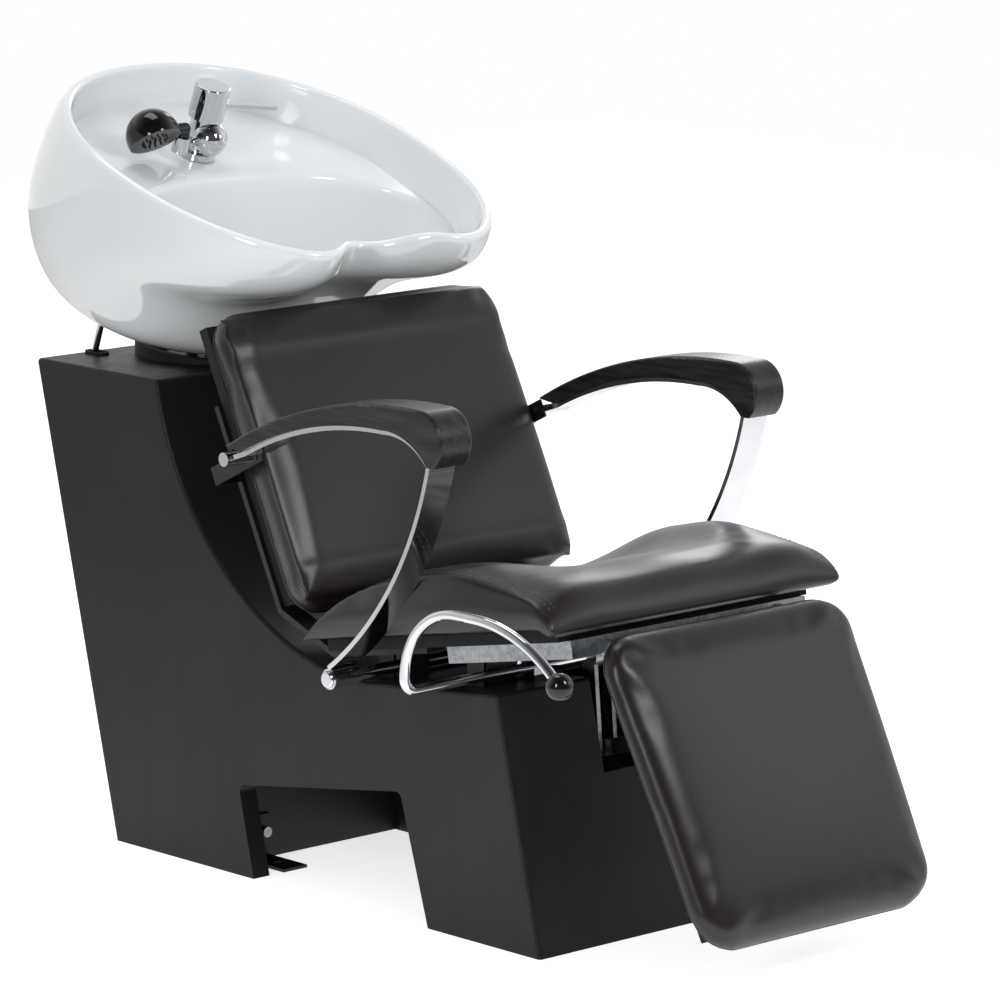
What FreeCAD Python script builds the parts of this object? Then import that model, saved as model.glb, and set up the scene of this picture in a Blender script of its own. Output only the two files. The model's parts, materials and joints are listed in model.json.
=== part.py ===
import FreeCAD, Part
import math
import os

V = FreeCAD.Vector

# Salon backwash unit. Millimetres, floor at z = 0, the sitter faces -Y, the basin is at the rear.
# The origin is the middle of the four floor bolt holes.

# Base cabinet
cabinet_half_width = 210.0
cabinet_wall = 6.0
cabinet_height = 625.0
cabinet_edge_round = 5.0
rear_foot_y = 460.0
rear_top_y = 615.0
top_front_y = 366.0
ledge_rear_y = -15.0
ledge_rear_z = 291.0
ledge_front_y = -280.0
ledge_front_z = 316.0
front_foot_y = -357.0
sweep_radius = 420.0

# Toe space at the foot of both sides
toe_rear_foot_y = 181.0
toe_rear_top_y = 208.0
toe_rear_top_z = 119.0
toe_front_top_y = -103.0
toe_front_top_z = 165.0
toe_front_foot_y = -155.0
toe_rear_slope = 0.25
toe_front_slope = 0.3
toe_corner_round = 10.0
toe_flange_depth = 27.0
toe_flange_wall = 5.0
liner_wall = 4.0
liner_rear_y = 255.0
liner_front_y = -171.0
liner_spine_x = 100.0
liner_ceiling_z = 225.0

# Floor brackets
bolt_half_x = 140.0
bolt_half_y = 215.0
floor_hole_radius = 5.5
bracket_width = 40.0
bracket_wall = 4.0
bracket_height = 60.0
bracket_toe = 36.0
bracket_bolt_z = 36.0
bracket_bolt_offset_x = 11.0

# Fasteners
bolt_shank_radius = 4.0
bolt_head_radius = 7.0
bolt_head_height = 5.0
bolt_nut_height = 6.0
screw_shank_radius = 2.5
screw_head_radius = 5.0
screw_head_height = 3.0
hole_clearance = 0.1

# Between a pad and the board that carries it
soft_gap = 0.3

# Seat, in its own tilted frame: forward is -Y, up is +Z, zero at the rear of its bottom face
seat_rear_y = 42.0
seat_rear_z = 335.0
seat_tilt = 10.4
seat_half_width = 243.0
seat_side_bulge = 3.0
seat_length = 470.0
seat_front_thickness = 20.0
seat_nose_roll = 15.0
seat_nose_lift = 8.0
seat_nose_seam = 29.0
seat_nose_crown = 45.0
seat_nose_shoulder = 44.0
seat_shoulder_inset = 43.0
seat_dish_inset = 123.0
seat_dish_share = 0.25
# Distance from the rear, then heights of the side seam, the shoulder inside it and the dished middle
seat_cuts = ((0.0, 8.0, 14.0, 16.0), (42.0, 36.0, 36.0, 32.0), (96.0, 60.0, 50.0, 37.0),
             (162.0, 74.0, 72.0, 43.0), (239.0, 78.0, 84.0, 49.0), (349.0, 60.0, 79.0, 66.0),
             (416.0, 42.0, 62.0, 62.0))
seat_board_thickness = 15.0
seat_board_half_width = 212.0
seat_board_front = 438.0
seat_board_rear = 12.0
rail_height = 22.0
rail_width = 20.0
rail_centre_x = 190.0
rail_rear = 222.0
rail_wall = 2.5
front_rail_depth = 15.0
front_rail_ahead = 8.0
riser_half_length = 168.0
riser_depth = 30.0
riser_wall = 4.0
rear_riser_y = -30.0
front_riser_y = -196.0
riser_bolt_x = 120.0

# Upright pads of the backrest and the leg rest
pad_levels = 11
pad_squareness = 5.0
pad_corner_round = 30.0
pad_draw_in = 3.0
pad_end_share = 0.35
pad_end_crown = 0.15
pad_side_bulge = 2.0

# Backrest, in its own leaning frame: forward is -Y, up is +Z, zero at the bottom front edge
back_bottom_y = 60.0
back_bottom_z = 364.0
back_lean = 26.3
back_top_below_rim = 166.0
back_half_width_bottom = 243.0
back_half_width_top = 238.0
back_thickness = 46.0
back_side_taper = 34.0
back_edge_front = 18.0
back_crown = 16.0
back_board_thickness = 15.0
back_board_inset = 6.0
back_board_knee_gap = 3.0
upright_knee = 26.0
upright_thickness = 8.0
upright_width = 30.0
upright_reach = 300.0
upright_foot = 190.0
upright_screw_first = 120.0
upright_screw_step = 130.0

# Arms
arm_inner_x = 246.0
arm_bar_width = 42.0
arm_bar_thickness = 6.0
arm_cap_overhang = 5.5
cap_edge_round = 4.0
arm_eye_radius = 13.0
arm_eye_inset = 4.0
arm_foot_overlap = 2.0
arm_foot_head_inset = 2.0
arm_sweep = 22.0
cross_bar_y = -60.0
cross_bar_radius = 8.0
cross_bar_lift = 9.0
cross_bar_clamp_x = 150.0
cross_bar_clamp_half = 16.0
cross_bar_clamp_cover = 6.0
cap_nose_y = -257.0
cap_nose_z = 601.0
cap_crest_back = 24.0
cap_nose_height = 69.0
cap_tail_y = 130.0
cap_tail_z = 580.0
cap_top_back = 170.0
cap_top_rise = 69.0
cap_lip = 11.0
cap_lip_rise = 1.0
cap_throat_back = 40.0
cap_throat_rise = 25.0
cap_shoulder_back = 94.0
cap_shoulder_rise = 36.0
cap_belly_back = 160.0
cap_belly_rise = 43.0
cap_heel_back = 31.0
cap_heel_drop = 4.0
arm_rear_eye_y = 133.0
arm_rear_eye_z = 562.0
arm_rear_eye_radius = 9.0
arm_bolt_radius = 5.0
back_bracket_wall = 3.0
back_bracket_gap = 1.0
back_bracket_half_height = 12.0

# Leg rest, in its own leaning frame: forward is -Y, up is +Z, zero at the top edge
leg_top_y = -448.0
leg_top_z = 415.0
leg_lean = 27.3
leg_height = 405.0
leg_half_width_top = 212.0
leg_half_width_bottom = 200.0
leg_rear_depth = 12.0
leg_edge_front = 12.0
leg_side_taper = 4.0
leg_crown = 16.0
leg_board_thickness = 12.0
leg_board_inset = 22.0
leg_hinge_down = 15.0
leg_hinge_back = 33.0
leg_hinge_x = 150.0
leg_plate_wall = 3.0
leg_plate_set_down = 6.0
leg_plate_height = 190.0
leg_plate_half_width = 165.0
leg_screw_x = 90.0
leg_screw_down = 20.0
leg_screw_up = 15.0

# Lever, crank and drive link
lever_shaft_y = -236.0
lever_shaft_z = 330.0
lever_rod_radius = 6.5
lever_plane_x = -320.0
lever_shaft_end_x = 128.0
lever_corner_radius = 16.0
lever_rise_radius = 92.0
lever_flat = 34.0
lever_fall_radius = 210.0
lever_fall_angle = 40.0
knob_radius = 17.0
knob_seat = 3.06
bush_x = 110.0
bush_width = 22.0
bush_wall = 9.0
crank_back = -10.0
crank_drop = -118.0
pivot_radius = 5.0
pivot_clearance = 0.05
open_pivot_clearance = 0.4
ear_wall = 6.0
ear_radius = 11.0
link_half_width = 7.0
link_side_gap = 3.0
hinge_side_gap = 2.0
notch_side_gap = 40.0
notch_floor_z = 200.0
notch_rear_y = -168.0

# Basin, in its own tilted frame: +Y runs to the rear along the rim, +Z is square to the rim
rim_centre_y = 367.0
rim_above_cabinet = 269.0
rim_tilt = 19.9
rim_half_width = 262.0
rim_half_length = 299.0
basin_wall = 13.0
basin_depth = 264.0
bowl_floor = 240.0
ring_points = 28
ring_power = 0.92
corner_fullness = 1.6
corner_full_depth = 105.0
corner_full_spread = 45.0
neck_recess = 128.0
neck_spread = 78.0
neck_drop = 41.0
neck_radius = 95.0
deck_front = 96.0
deck_depth = 66.0
deck_wall = 14.0
tap_on_deck = 152.0
tap_hole_radius = 16.0

# Basin tilt
tilt_axis_y = 490.0
tilt_axis_above_cabinet = 18.0
tilt_ear_x = 44.0
tilt_ear_wall = 6.0
tilt_ear_radius = 8.5
tilt_plate_wall = 4.0
tilt_plate_half_x = 70.0
tilt_plate_half_y = 62.0
saddle_half_y = 38.0
tilt_bolt_inset = 14.0
collar_radius = 112.0
collar_wall = 9.0
collar_front_height = 3.0
collar_slope = 6.0
guide_rod_x = 130.0
guide_rod_y = 592.0
guide_rod_radius = 4.5
guide_rod_below = 12.0
guide_slot_front = 15.0
guide_slot_rear = 4.0
guide_slot_half = 7.0
grommet_wall = 3.0
grommet_height = 4.0

# Waste
waste_radius = 34.0
waste_flange_thickness = 3.0
waste_hole_radius = 21.0
waste_pipe_radius = 20.0
waste_pipe_wall = 2.5
waste_tail_length = 80.0
waste_along = 20.0
waste_bar_width = 4.0
waste_nut_radius = 31.0
waste_nut_height = 9.0
waste_slot_radius = 48.0
waste_slot_step = 8.0

# Mixer tap, along the rim normal from the deck
tap_flange_radius = 25.0
tap_flange_height = 9.0
tap_body_radius = 19.0
tap_body_height = 46.0
tap_ball_radius = 23.5
tap_ball_forward = 17.0
tap_ball_height = 31.0
tap_cap_radius = 24.0
tap_cap_height = 46.0
tap_cap_gap = 0.4
tap_spigot_radius = 12.0
tap_spigot_height = 20.0
tap_lever_length = 74.0
tap_lever_width = 15.0
tap_lever_thickness = 5.0
tap_lever_height = 20.0
tap_lever_swing = 17.0
tap_lever_slot_gap = 1.2
tap_lever_pin_radius = 1.5
tap_lever_pin_reach = 11.0
tap_lever_pin_out = 6.0
tap_shank_below = 44.0
tap_nut_radius = 23.0
tap_nut_height = 10.0
holder_reach = 40.0
holder_radius = 12.0
holder_height = 24.0
holder_arm_radius = 7.0
shower_head_radius = 36.0
shower_head_reach = 92.0
shower_neck_radius = 8.0
shower_seat_depth = 14.0
shower_seat_clearance = 0.3
spray_plate_radius = 25.0
spray_plate_thickness = 3.0
shower_face_tilt = 52.0


# Small helpers

def vec(y, z, x=0.0):
    return V(x, y, z)


def trace(start, *steps):
    # Edges in the YZ plane: a plain pair is a line, a pair of pairs is an arc through the first.
    edges = []
    here = start
    for step in steps:
        if isinstance(step[0], tuple):
            edges.append(Part.Arc(vec(*here), vec(*step[0]), vec(*step[1])).toShape())
            here = step[1]
        else:
            edges.append(Part.LineSegment(vec(*here), vec(*step)).toShape())
            here = step
    return edges


def slab(edges, x0, x1):
    face = Part.Face(Part.Wire(edges))
    face.translate(V(x0, 0, 0))
    return face.extrude(V(x1 - x0, 0, 0))


def plate(points, x0, x1):
    return slab(trace(points[0], *points[1:], points[0]), x0, x1)


def block(x0, x1, y0, y1, z0, z1):
    return Part.makeBox(x1 - x0, y1 - y0, z1 - z0, V(x0, y0, z0))


def rod_x(x0, x1, y, z, radius):
    return Part.makeCylinder(radius, x1 - x0, V(x0, y, z), V(1, 0, 0))


def rod_z(x, y, z0, z1, radius):
    return Part.makeCylinder(radius, z1 - z0, V(x, y, z0))


def bolt(place, direction, shank, length, head, head_height):
    # The head sits on the near side of place, the shank runs on along the direction.
    stem = Part.makeCylinder(shank, length, place, direction)
    cap = Part.makeCylinder(head, head_height, place, -direction)
    return stem.fuse(cap)


def bore(place, direction, radius, length):
    return Part.makeCylinder(radius, length, place, direction)


def ear_link(a, b, radius, x0, x1):
    # A flat bar with round ends over two pivots, seen along X.
    along = vec(*b).sub(vec(*a))
    along.normalize()
    side = V(0, -along.z, along.y) * radius
    tip = along * radius
    pa = vec(*a)
    pb = vec(*b)
    edges = [
        Part.LineSegment(pa + side, pb + side).toShape(),
        Part.Arc(pb + side, pb + tip, pb - side).toShape(),
        Part.LineSegment(pb - side, pa - side).toShape(),
        Part.Arc(pa - side, pa - tip, pa + side).toShape(),
    ]
    return slab(edges, x0, x1)


def mirrored(shape):
    return shape.mirror(V(0, 0, 0), V(1, 0, 0))


def both(shape):
    return Part.makeCompound([shape, mirrored(shape)])


def placed(shape, y, z, lean):
    # From an upright local frame to the object: leans back by the angle, then moves to y, z.
    done = shape.copy()
    done.rotate(V(0, 0, 0), V(1, 0, 0), -lean)
    done.translate(V(0, y, z))
    return done


def in_seat(shape):
    return placed(shape, seat_rear_y, seat_rear_z, seat_tilt)


def in_back(shape):
    return placed(shape, back_bottom_y, back_bottom_z, back_lean)


def in_leg(shape):
    return placed(shape, leg_top_y, leg_top_z, leg_lean)


def in_basin(shape):
    return placed(shape, rim_centre_y, rim_centre_z, -rim_tilt)


def turned(y, z, lean, oy, oz):
    a = math.radians(lean)
    return (oy + y * math.cos(a) + z * math.sin(a), oz - y * math.sin(a) + z * math.cos(a))


def seat_point(y, z):
    return turned(y, z, seat_tilt, seat_rear_y, seat_rear_z)


def back_point(y, z):
    return turned(y, z, back_lean, back_bottom_y, back_bottom_z)


def leg_point(y, z):
    return turned(y, z, leg_lean, leg_top_y, leg_top_z)


def basin_point(y, z):
    return turned(y, z, -rim_tilt, rim_centre_y, rim_centre_z)


def local(y, z, lean, oy, oz):
    a = math.radians(lean)
    dy = y - oy
    dz = z - oz
    return (dy * math.cos(a) - dz * math.sin(a), dy * math.sin(a) + dz * math.cos(a))


def ledge_z(y):
    slope = (ledge_front_z - ledge_rear_z) / (ledge_front_y - ledge_rear_y)
    return ledge_rear_z + (y - ledge_rear_y) * slope


# Shared places

rim_centre_z = cabinet_height + rim_above_cabinet
back_height = (rim_centre_z - back_top_below_rim - back_bottom_z) / math.cos(math.radians(back_lean))
tilt_axis_z = cabinet_height + tilt_axis_above_cabinet
seat_under = -seat_board_thickness
front_rail_front = -(seat_board_front + front_rail_ahead)
hinge = leg_point(leg_hinge_back, -leg_hinge_down)
crank_pivot = (lever_shaft_y + crank_back, lever_shaft_z + crank_drop)
link_pivot = (hinge[0] + crank_back, hinge[1] + crank_drop)
cross_bar_z = ledge_z(cross_bar_y) + cross_bar_lift + cross_bar_radius
arm_outer_x = arm_inner_x + arm_bar_width
cap_inner_x = arm_inner_x - arm_cap_overhang
cap_outer_x = arm_outer_x + arm_cap_overhang
cheek_inner_x = link_half_width + link_side_gap
cheek_outer_x = cheek_inner_x + ear_wall
notch_half_width = cheek_outer_x + notch_side_gap
waste_drop = (rim_centre_z + waste_along * math.sin(math.radians(rim_tilt)) - cabinet_height) \
    / math.cos(math.radians(rim_tilt))
waste_y, _ = basin_point(waste_along, -waste_drop)
deck_top = -deck_depth


# Base cabinet

def cabinet_profile(foot_z):
    # Side outline of the cabinet, with its two end walls carried on down to foot_z.
    rear_slope = (rear_top_y - rear_foot_y) / cabinet_height
    front_slope = (ledge_front_y - front_foot_y) / ledge_front_z
    chord_y = top_front_y - ledge_rear_y
    chord_z = cabinet_height - ledge_rear_z
    half = math.hypot(chord_y, chord_z) / 2.0
    sag = sweep_radius - math.sqrt(sweep_radius ** 2 - half ** 2)
    middle = (ledge_rear_y + chord_y / 2.0 + sag * chord_z / (2.0 * half),
              ledge_rear_z + chord_z / 2.0 - sag * chord_y / (2.0 * half))
    rear_foot = (rear_foot_y + rear_slope * foot_z, foot_z)
    return trace(
        rear_foot,
        (rear_top_y, cabinet_height),
        (top_front_y, cabinet_height),
        (middle, (ledge_rear_y, ledge_rear_z)),
        (ledge_front_y, ledge_front_z),
        (front_foot_y + front_slope * foot_z, foot_z),
        rear_foot)


def toe_outline(grow):
    outline = Part.Wire(trace(
        (toe_rear_foot_y - toe_rear_slope * toe_rear_top_z, -toe_rear_top_z),
        (toe_rear_top_y, toe_rear_top_z),
        (toe_front_top_y, toe_front_top_z),
        (toe_front_foot_y - toe_front_slope * toe_rear_top_z, -toe_rear_top_z),
        (toe_rear_foot_y - toe_rear_slope * toe_rear_top_z, -toe_rear_top_z)))
    shape = Part.Face(outline)
    if grow:
        shape = shape.makeOffset2D(grow, 2)
    return shape


def toe_prism(grow, x0, x1):
    face = toe_outline(grow)
    face.translate(V(x0, 0, 0))
    prism = face.extrude(V(x1 - x0, 0, 0))
    uprights = [e for e in prism.Edges
                if abs(e.Vertexes[0].X - e.Vertexes[-1].X) > 1.0 and e.Vertexes[0].Z > 0]
    return prism.makeFillet(toe_corner_round + grow, uprights)


def make_base_shell():
    outer = slab(cabinet_profile(0.0), -cabinet_half_width, cabinet_half_width)
    rounded = [e for e in outer.Edges if max(v.Z for v in e.Vertexes) > 1.0]
    outer = outer.makeFillet(cabinet_edge_round, rounded)
    hollow = Part.Face(Part.Wire(cabinet_profile(-4.0 * cabinet_wall))).makeOffset2D(-cabinet_wall)
    inner_x = cabinet_half_width - cabinet_wall
    hollow.translate(V(-inner_x, 0, 0))
    shell = outer.cut(hollow.extrude(V(2.0 * inner_x, 0, 0)))
    flange_x = cabinet_half_width - toe_flange_depth
    flange = toe_prism(toe_flange_wall, flange_x, inner_x)
    below = block(-cabinet_half_width, cabinet_half_width, front_foot_y, rear_top_y,
                  -2.0 * toe_rear_top_z, 0.0)
    flange = flange.cut(below)
    shell = shell.fuse([flange, mirrored(flange)])
    toe = toe_prism(0.0, flange_x - 1.0, cabinet_half_width + 1.0)
    notch = block(-notch_half_width, notch_half_width, front_foot_y, notch_rear_y,
                  notch_floor_z, ledge_front_z + 1.0)
    slots = both(guide_slot(guide_slot_half, cabinet_height - 2.0 * cabinet_wall, cabinet_height + 1.0))
    drain = rod_z(0, waste_y, cabinet_height - 2.0 * cabinet_wall, cabinet_height + 1.0,
                  waste_slot_radius)
    shell = shell.cut([toe, mirrored(toe), notch, slots, drain] + tilt_bolt_bores())
    return shell.removeSplitter()


def guide_slot(half, z0, z1):
    front = guide_rod_y - guide_slot_front
    rear = guide_rod_y + guide_slot_rear
    ends = [rod_z(guide_rod_x, y, z0, z1, half) for y in (front, rear)]
    middle = block(guide_rod_x - half, guide_rod_x + half, front, rear, z0, z1)
    return middle.fuse(ends)


def make_rod_grommets():
    top = cabinet_height + grommet_height
    ring = guide_slot(guide_slot_half + grommet_wall, cabinet_height, top)
    return both(ring.cut(guide_slot(guide_slot_half, cabinet_height - 1.0, top + 1.0)))


def make_toe_liner():
    wide = cabinet_half_width - cabinet_wall
    rear = block(-wide, wide, liner_rear_y, liner_rear_y + liner_wall, 0.0, liner_ceiling_z)
    front = block(-wide, wide, liner_front_y - liner_wall, liner_front_y, 0.0, liner_ceiling_z)
    spine = block(liner_spine_x, liner_spine_x + liner_wall, liner_front_y, liner_rear_y,
                  0.0, liner_ceiling_z)
    ceiling = block(-wide, wide, liner_front_y - liner_wall, liner_rear_y + liner_wall,
                    liner_ceiling_z, liner_ceiling_z + liner_wall)
    liner = rear.fuse([front, spine, ceiling])
    return liner.cut(bracket_bolt_bores()).removeSplitter()


def bracket_bolts_at():
    places = []
    for x in (-bolt_half_x, bolt_half_x):
        for offset in (-bracket_bolt_offset_x, bracket_bolt_offset_x):
            places.append(V(x + offset, liner_rear_y - bracket_wall, bracket_bolt_z))
            places.append(V(x + offset, liner_front_y - liner_wall - bracket_wall, bracket_bolt_z))
    return places


def bracket_bolt_bores():
    length = 2.0 * (bracket_wall + liner_wall)
    radius = bolt_shank_radius + hole_clearance
    return [bore(p - V(0, bracket_wall, 0), V(0, 1, 0), radius, length) for p in bracket_bolts_at()]


def floor_bracket(x, wall_y, hole_y):
    toe_y = hole_y + math.copysign(bracket_toe, hole_y - wall_y)
    y0 = min(wall_y, toe_y)
    y1 = max(wall_y, toe_y)
    half = bracket_width / 2.0
    foot = block(x - half, x + half, y0, y1, 0.0, bracket_wall)
    leg_y = wall_y if toe_y > wall_y else wall_y - bracket_wall
    leg = block(x - half, x + half, leg_y, leg_y + bracket_wall, 0.0, bracket_height)
    hole = rod_z(x, hole_y, -1.0, bracket_wall + 1.0, floor_hole_radius)
    return foot.fuse(leg).removeSplitter().cut([hole] + bracket_bolt_bores())


def make_floor_brackets():
    solids = []
    for x in (-bolt_half_x, bolt_half_x):
        solids.append(floor_bracket(x, liner_rear_y, bolt_half_y))
        solids.append(floor_bracket(x, liner_front_y - liner_wall, -bolt_half_y))
    return Part.makeCompound(solids)


def make_bracket_bolts():
    length = bracket_wall + liner_wall + bolt_nut_height
    solids = []
    for p in bracket_bolts_at():
        stem = bolt(p, V(0, 1, 0), bolt_shank_radius, length, bolt_head_radius, bolt_head_height)
        nut = Part.makeCylinder(bolt_head_radius, bolt_nut_height,
                                p + V(0, bracket_wall + liner_wall, 0), V(0, 1, 0))
        solids.append(stem.fuse(nut).removeSplitter())
    return Part.makeCompound(solids)


# Seat and its carrier

def seat_top(along, seam, shoulder, centre):
    # The line across the top: up from one seam over its shoulder, down into the dish and back up.
    low = centre + (shoulder - centre) * seat_dish_share
    half = [(seat_half_width, seam), (seat_half_width - seat_shoulder_inset, shoulder),
            (seat_half_width - seat_dish_inset, low)]
    points = [V(x, -along, z) for x, z in half] + [V(0, -along, centre)]
    points += [V(-x, -along, z) for x, z in reversed(half)]
    line = Part.BSplineCurve()
    line.interpolate(points)
    return line.toShape()


def seat_section(along, seam, shoulder, centre, floor):
    # One cut across the seat: flat below, drawn sides up to the seam, a dished top.
    y = -along
    w = seat_half_width
    out = w + seat_side_bulge
    middle = (floor + seam) / 2.0
    return Part.Wire([
        Part.LineSegment(V(-w, y, floor), V(w, y, floor)).toShape(),
        Part.Arc(V(w, y, floor), V(out, y, middle), V(w, y, seam)).toShape(),
        seat_top(along, seam, shoulder, centre),
        Part.Arc(V(-w, y, seam), V(-out, y, middle), V(-w, y, floor)).toShape()])


def make_seat_cushion():
    # Cuts from the thin rear over the thigh hump to the rolled nose, which lifts off the board.
    sections = [seat_section(*cut, 0.0) for cut in seat_cuts]
    lip = seat_front_thickness - seat_nose_lift
    sections.append(seat_section(seat_length - seat_nose_roll, seat_nose_seam, seat_nose_shoulder,
                                 seat_nose_crown, seat_nose_lift / 5.0))
    sections.append(seat_section(seat_length, lip, seat_front_thickness, seat_front_thickness,
                                 seat_nose_lift))
    pad = Part.makeLoft(sections, True, False)
    below = block(-2.0 * seat_half_width, 2.0 * seat_half_width, -2.0 * seat_length, seat_length,
                  -seat_length, soft_gap)
    return in_seat(pad.cut(below))


def riser_bolts_at():
    return [(x, y) for y in (rear_riser_y, front_riser_y) for x in (-riser_bolt_x, riser_bolt_x)]


def under_seat_z(y):
    rear = seat_point(0.0, seat_under)
    return rear[1] - (y - rear[0]) * math.tan(math.radians(seat_tilt))


def make_seat_board():
    board = block(-seat_board_half_width, seat_board_half_width, -seat_board_front, -seat_board_rear,
                  seat_under, 0.0)
    return in_seat(board).cut(riser_bores())


def riser_bores():
    radius = bolt_shank_radius + hole_clearance
    length = seat_board_thickness * 0.8 + riser_wall * 2.0
    return [bore(V(x, y, under_seat_z(y) - riser_wall * 2.0), V(0, 0, 1), radius, length)
            for x, y in riser_bolts_at()]


def riser(y):
    # A folded channel, open to the front and rear, between the ledge and the seat board.
    y0 = y - riser_depth / 2.0
    y1 = y + riser_depth / 2.0
    outer = plate([(y0, ledge_z(y0)), (y1, ledge_z(y1)), (y1, under_seat_z(y1)),
                   (y0, under_seat_z(y0))], -riser_half_length, riser_half_length)
    inner = plate([(y0 - 1.0, ledge_z(y0) + riser_wall), (y1 + 1.0, ledge_z(y1) + riser_wall),
                   (y1 + 1.0, under_seat_z(y1) - riser_wall), (y0 - 1.0, under_seat_z(y0) - riser_wall)],
                  -riser_half_length + riser_wall, riser_half_length - riser_wall)
    return outer.cut([inner] + riser_bores())


def make_seat_risers():
    return Part.makeCompound([riser(rear_riser_y), riser(front_riser_y)])


def make_seat_bolts():
    # Each head sits under the riser's top flange, square to the flange it clamps.
    solids = []
    up = V(0, math.sin(math.radians(seat_tilt)), math.cos(math.radians(seat_tilt)))
    for x, y in riser_bolts_at():
        washer = V(x, y, under_seat_z(y) - riser_wall) - up * 0.1
        head = Part.makeCylinder(bolt_head_radius, bolt_head_height, washer, -up)
        stem = rod_z(x, y, under_seat_z(y) - riser_wall * 2.0,
                     under_seat_z(y) + seat_board_thickness * 0.7, bolt_shank_radius)
        solids.append(head.fuse(stem))
    return Part.makeCompound(solids)


def make_seat_side_rails():
    x0 = rail_centre_x - rail_width / 2.0
    x1 = rail_centre_x + rail_width / 2.0
    rear = -rail_rear
    front = front_rail_front + front_rail_depth
    tube = block(x0, x1, front, rear, seat_under - rail_height, seat_under)
    inside = block(x0 + rail_wall, x1 - rail_wall, front - 1.0, rear + 1.0,
                   seat_under - rail_height + rail_wall, seat_under - rail_wall)
    return both(in_seat(tube.cut(inside)))


def make_seat_front_rail():
    # Cross member over the rail ends, with the two lugs that carry the leg rest hinge.
    x1 = rail_centre_x + rail_width / 2.0
    bar = in_seat(block(-x1, x1, front_rail_front, front_rail_front + front_rail_depth,
                        seat_under - rail_height, seat_under))
    root = seat_point(front_rail_front + front_rail_depth / 2.0, seat_under - rail_height / 2.0)
    lugs = [ear_link(root, hinge, ear_radius - 1.0, x - ear_wall / 2.0, x + ear_wall / 2.0)
            for x in (-leg_hinge_x, leg_hinge_x)]
    holes = rod_x(-leg_hinge_x - ear_wall, leg_hinge_x + ear_wall, hinge[0], hinge[1], pivot_radius)
    return bar.fuse(lugs).cut(holes).removeSplitter()


# Backrest and its carrier

def pad_section(half, taper, z, rear, edge, crown):
    # One level of an upright pad: flat rear, sides that widen forwards and a crowned front.
    middle = (rear - edge) / 2.0
    back = half - taper
    waist = half - taper / 2.0 + pad_side_bulge
    return Part.Wire([
        Part.LineSegment(V(-back, rear, z), V(back, rear, z)).toShape(),
        Part.Arc(V(back, rear, z), V(waist, middle, z), V(half, -edge, z)).toShape(),
        Part.Arc(V(half, -edge, z), V(0, -edge - crown, z), V(-half, -edge, z)).toShape(),
        Part.Arc(V(-half, -edge, z), V(-waist, middle, z), V(-back, rear, z)).toShape()])


def upright_pad(height, half_bottom, half_top, taper, rear, edge, crown):
    # Levels close together at both ends roll the pad's edges over, the middle draws in a little.
    sections = []
    for step in range(pad_levels):
        swing = math.sin(math.radians(-85.0 + 170.0 * step / (pad_levels - 1)))
        full = (1.0 - abs(swing) ** pad_squareness) ** (1.0 / pad_squareness)
        z = height * (0.5 + 0.5 * swing)
        half = half_bottom + (half_top - half_bottom) * z / height
        half -= pad_corner_round * (1.0 - full) + pad_draw_in * (1.0 - swing ** 2)
        middle = (rear - edge) / 2.0
        reach = (rear + edge) / 2.0 * (pad_end_share + (1.0 - pad_end_share) * full)
        bulge = crown * (pad_end_crown + (1.0 - pad_end_crown) * full)
        sections.append(pad_section(half, taper, z, middle + reach, reach - middle, bulge))
    return Part.makeLoft(sections, True, False)


def make_back_cushion():
    return in_back(upright_pad(back_height, back_half_width_bottom, back_half_width_top, back_side_taper,
                               back_thickness, back_edge_front, back_crown))


def upright_screws_at():
    return [upright_screw_first, upright_screw_first + upright_screw_step]


def screw_bores(places, direction, length):
    radius = screw_shank_radius + hole_clearance
    return [bore(p - direction, direction, radius, length + 1.0) for p in places]


def back_board_front():
    return back_thickness + soft_gap


def back_screw_places():
    rear = back_board_front() + back_board_thickness + upright_thickness
    return [V(x, rear, z) for x in (-rail_centre_x, rail_centre_x) for z in upright_screws_at()]


def make_back_board():
    half = back_half_width_top - back_side_taper - back_board_inset
    board = block(-half, half, back_board_front(), back_board_front() + back_board_thickness,
                  upright_knee + back_board_knee_gap, back_height - back_board_inset)
    length = upright_thickness + back_board_thickness * 0.8
    return in_back(board.cut(screw_bores(back_screw_places(), V(0, -1, 0), length)))


def upright_path():
    rear = back_board_front() + back_board_thickness
    foot = seat_point(-upright_foot, seat_under)
    heel = seat_point(-seat_board_rear, seat_under)
    knee = back_point(rear, upright_knee)
    top = back_point(rear, upright_reach)
    return trace(foot, heel, knee, top)


def make_back_uprights():
    strip = Part.Wire(upright_path()).makeOffset2D(upright_thickness, 2, True, True)
    x0 = rail_centre_x - upright_width / 2.0
    strip.translate(V(x0, 0, 0))
    bar = strip.extrude(V(upright_width, 0, 0))
    length = upright_thickness + back_board_thickness * 0.8
    holes = [in_back(b) for b in screw_bores(back_screw_places(), V(0, -1, 0), length)]
    return both(bar.cut(holes))


def make_back_screws():
    length = upright_thickness + back_board_thickness * 0.6
    return Part.makeCompound([
        in_back(bolt(p, V(0, -1, 0), screw_shank_radius, length, screw_head_radius, screw_head_height))
        for p in back_screw_places()])


# Arms

def tangent_arc(start, direction, end):
    # Arc in the YZ plane that leaves start along the direction and comes down to end.
    chord = end.sub(start)
    inward = V(0, direction.z, -direction.y)
    if chord.dot(inward) < 0:
        inward = -inward
    radius = chord.dot(chord) / (2.0 * chord.dot(inward))
    centre = start + inward * radius
    outward = (start + end) * 0.5 - centre
    outward.normalize()
    return Part.Arc(start, centre + outward * radius, end).toShape()


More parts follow.
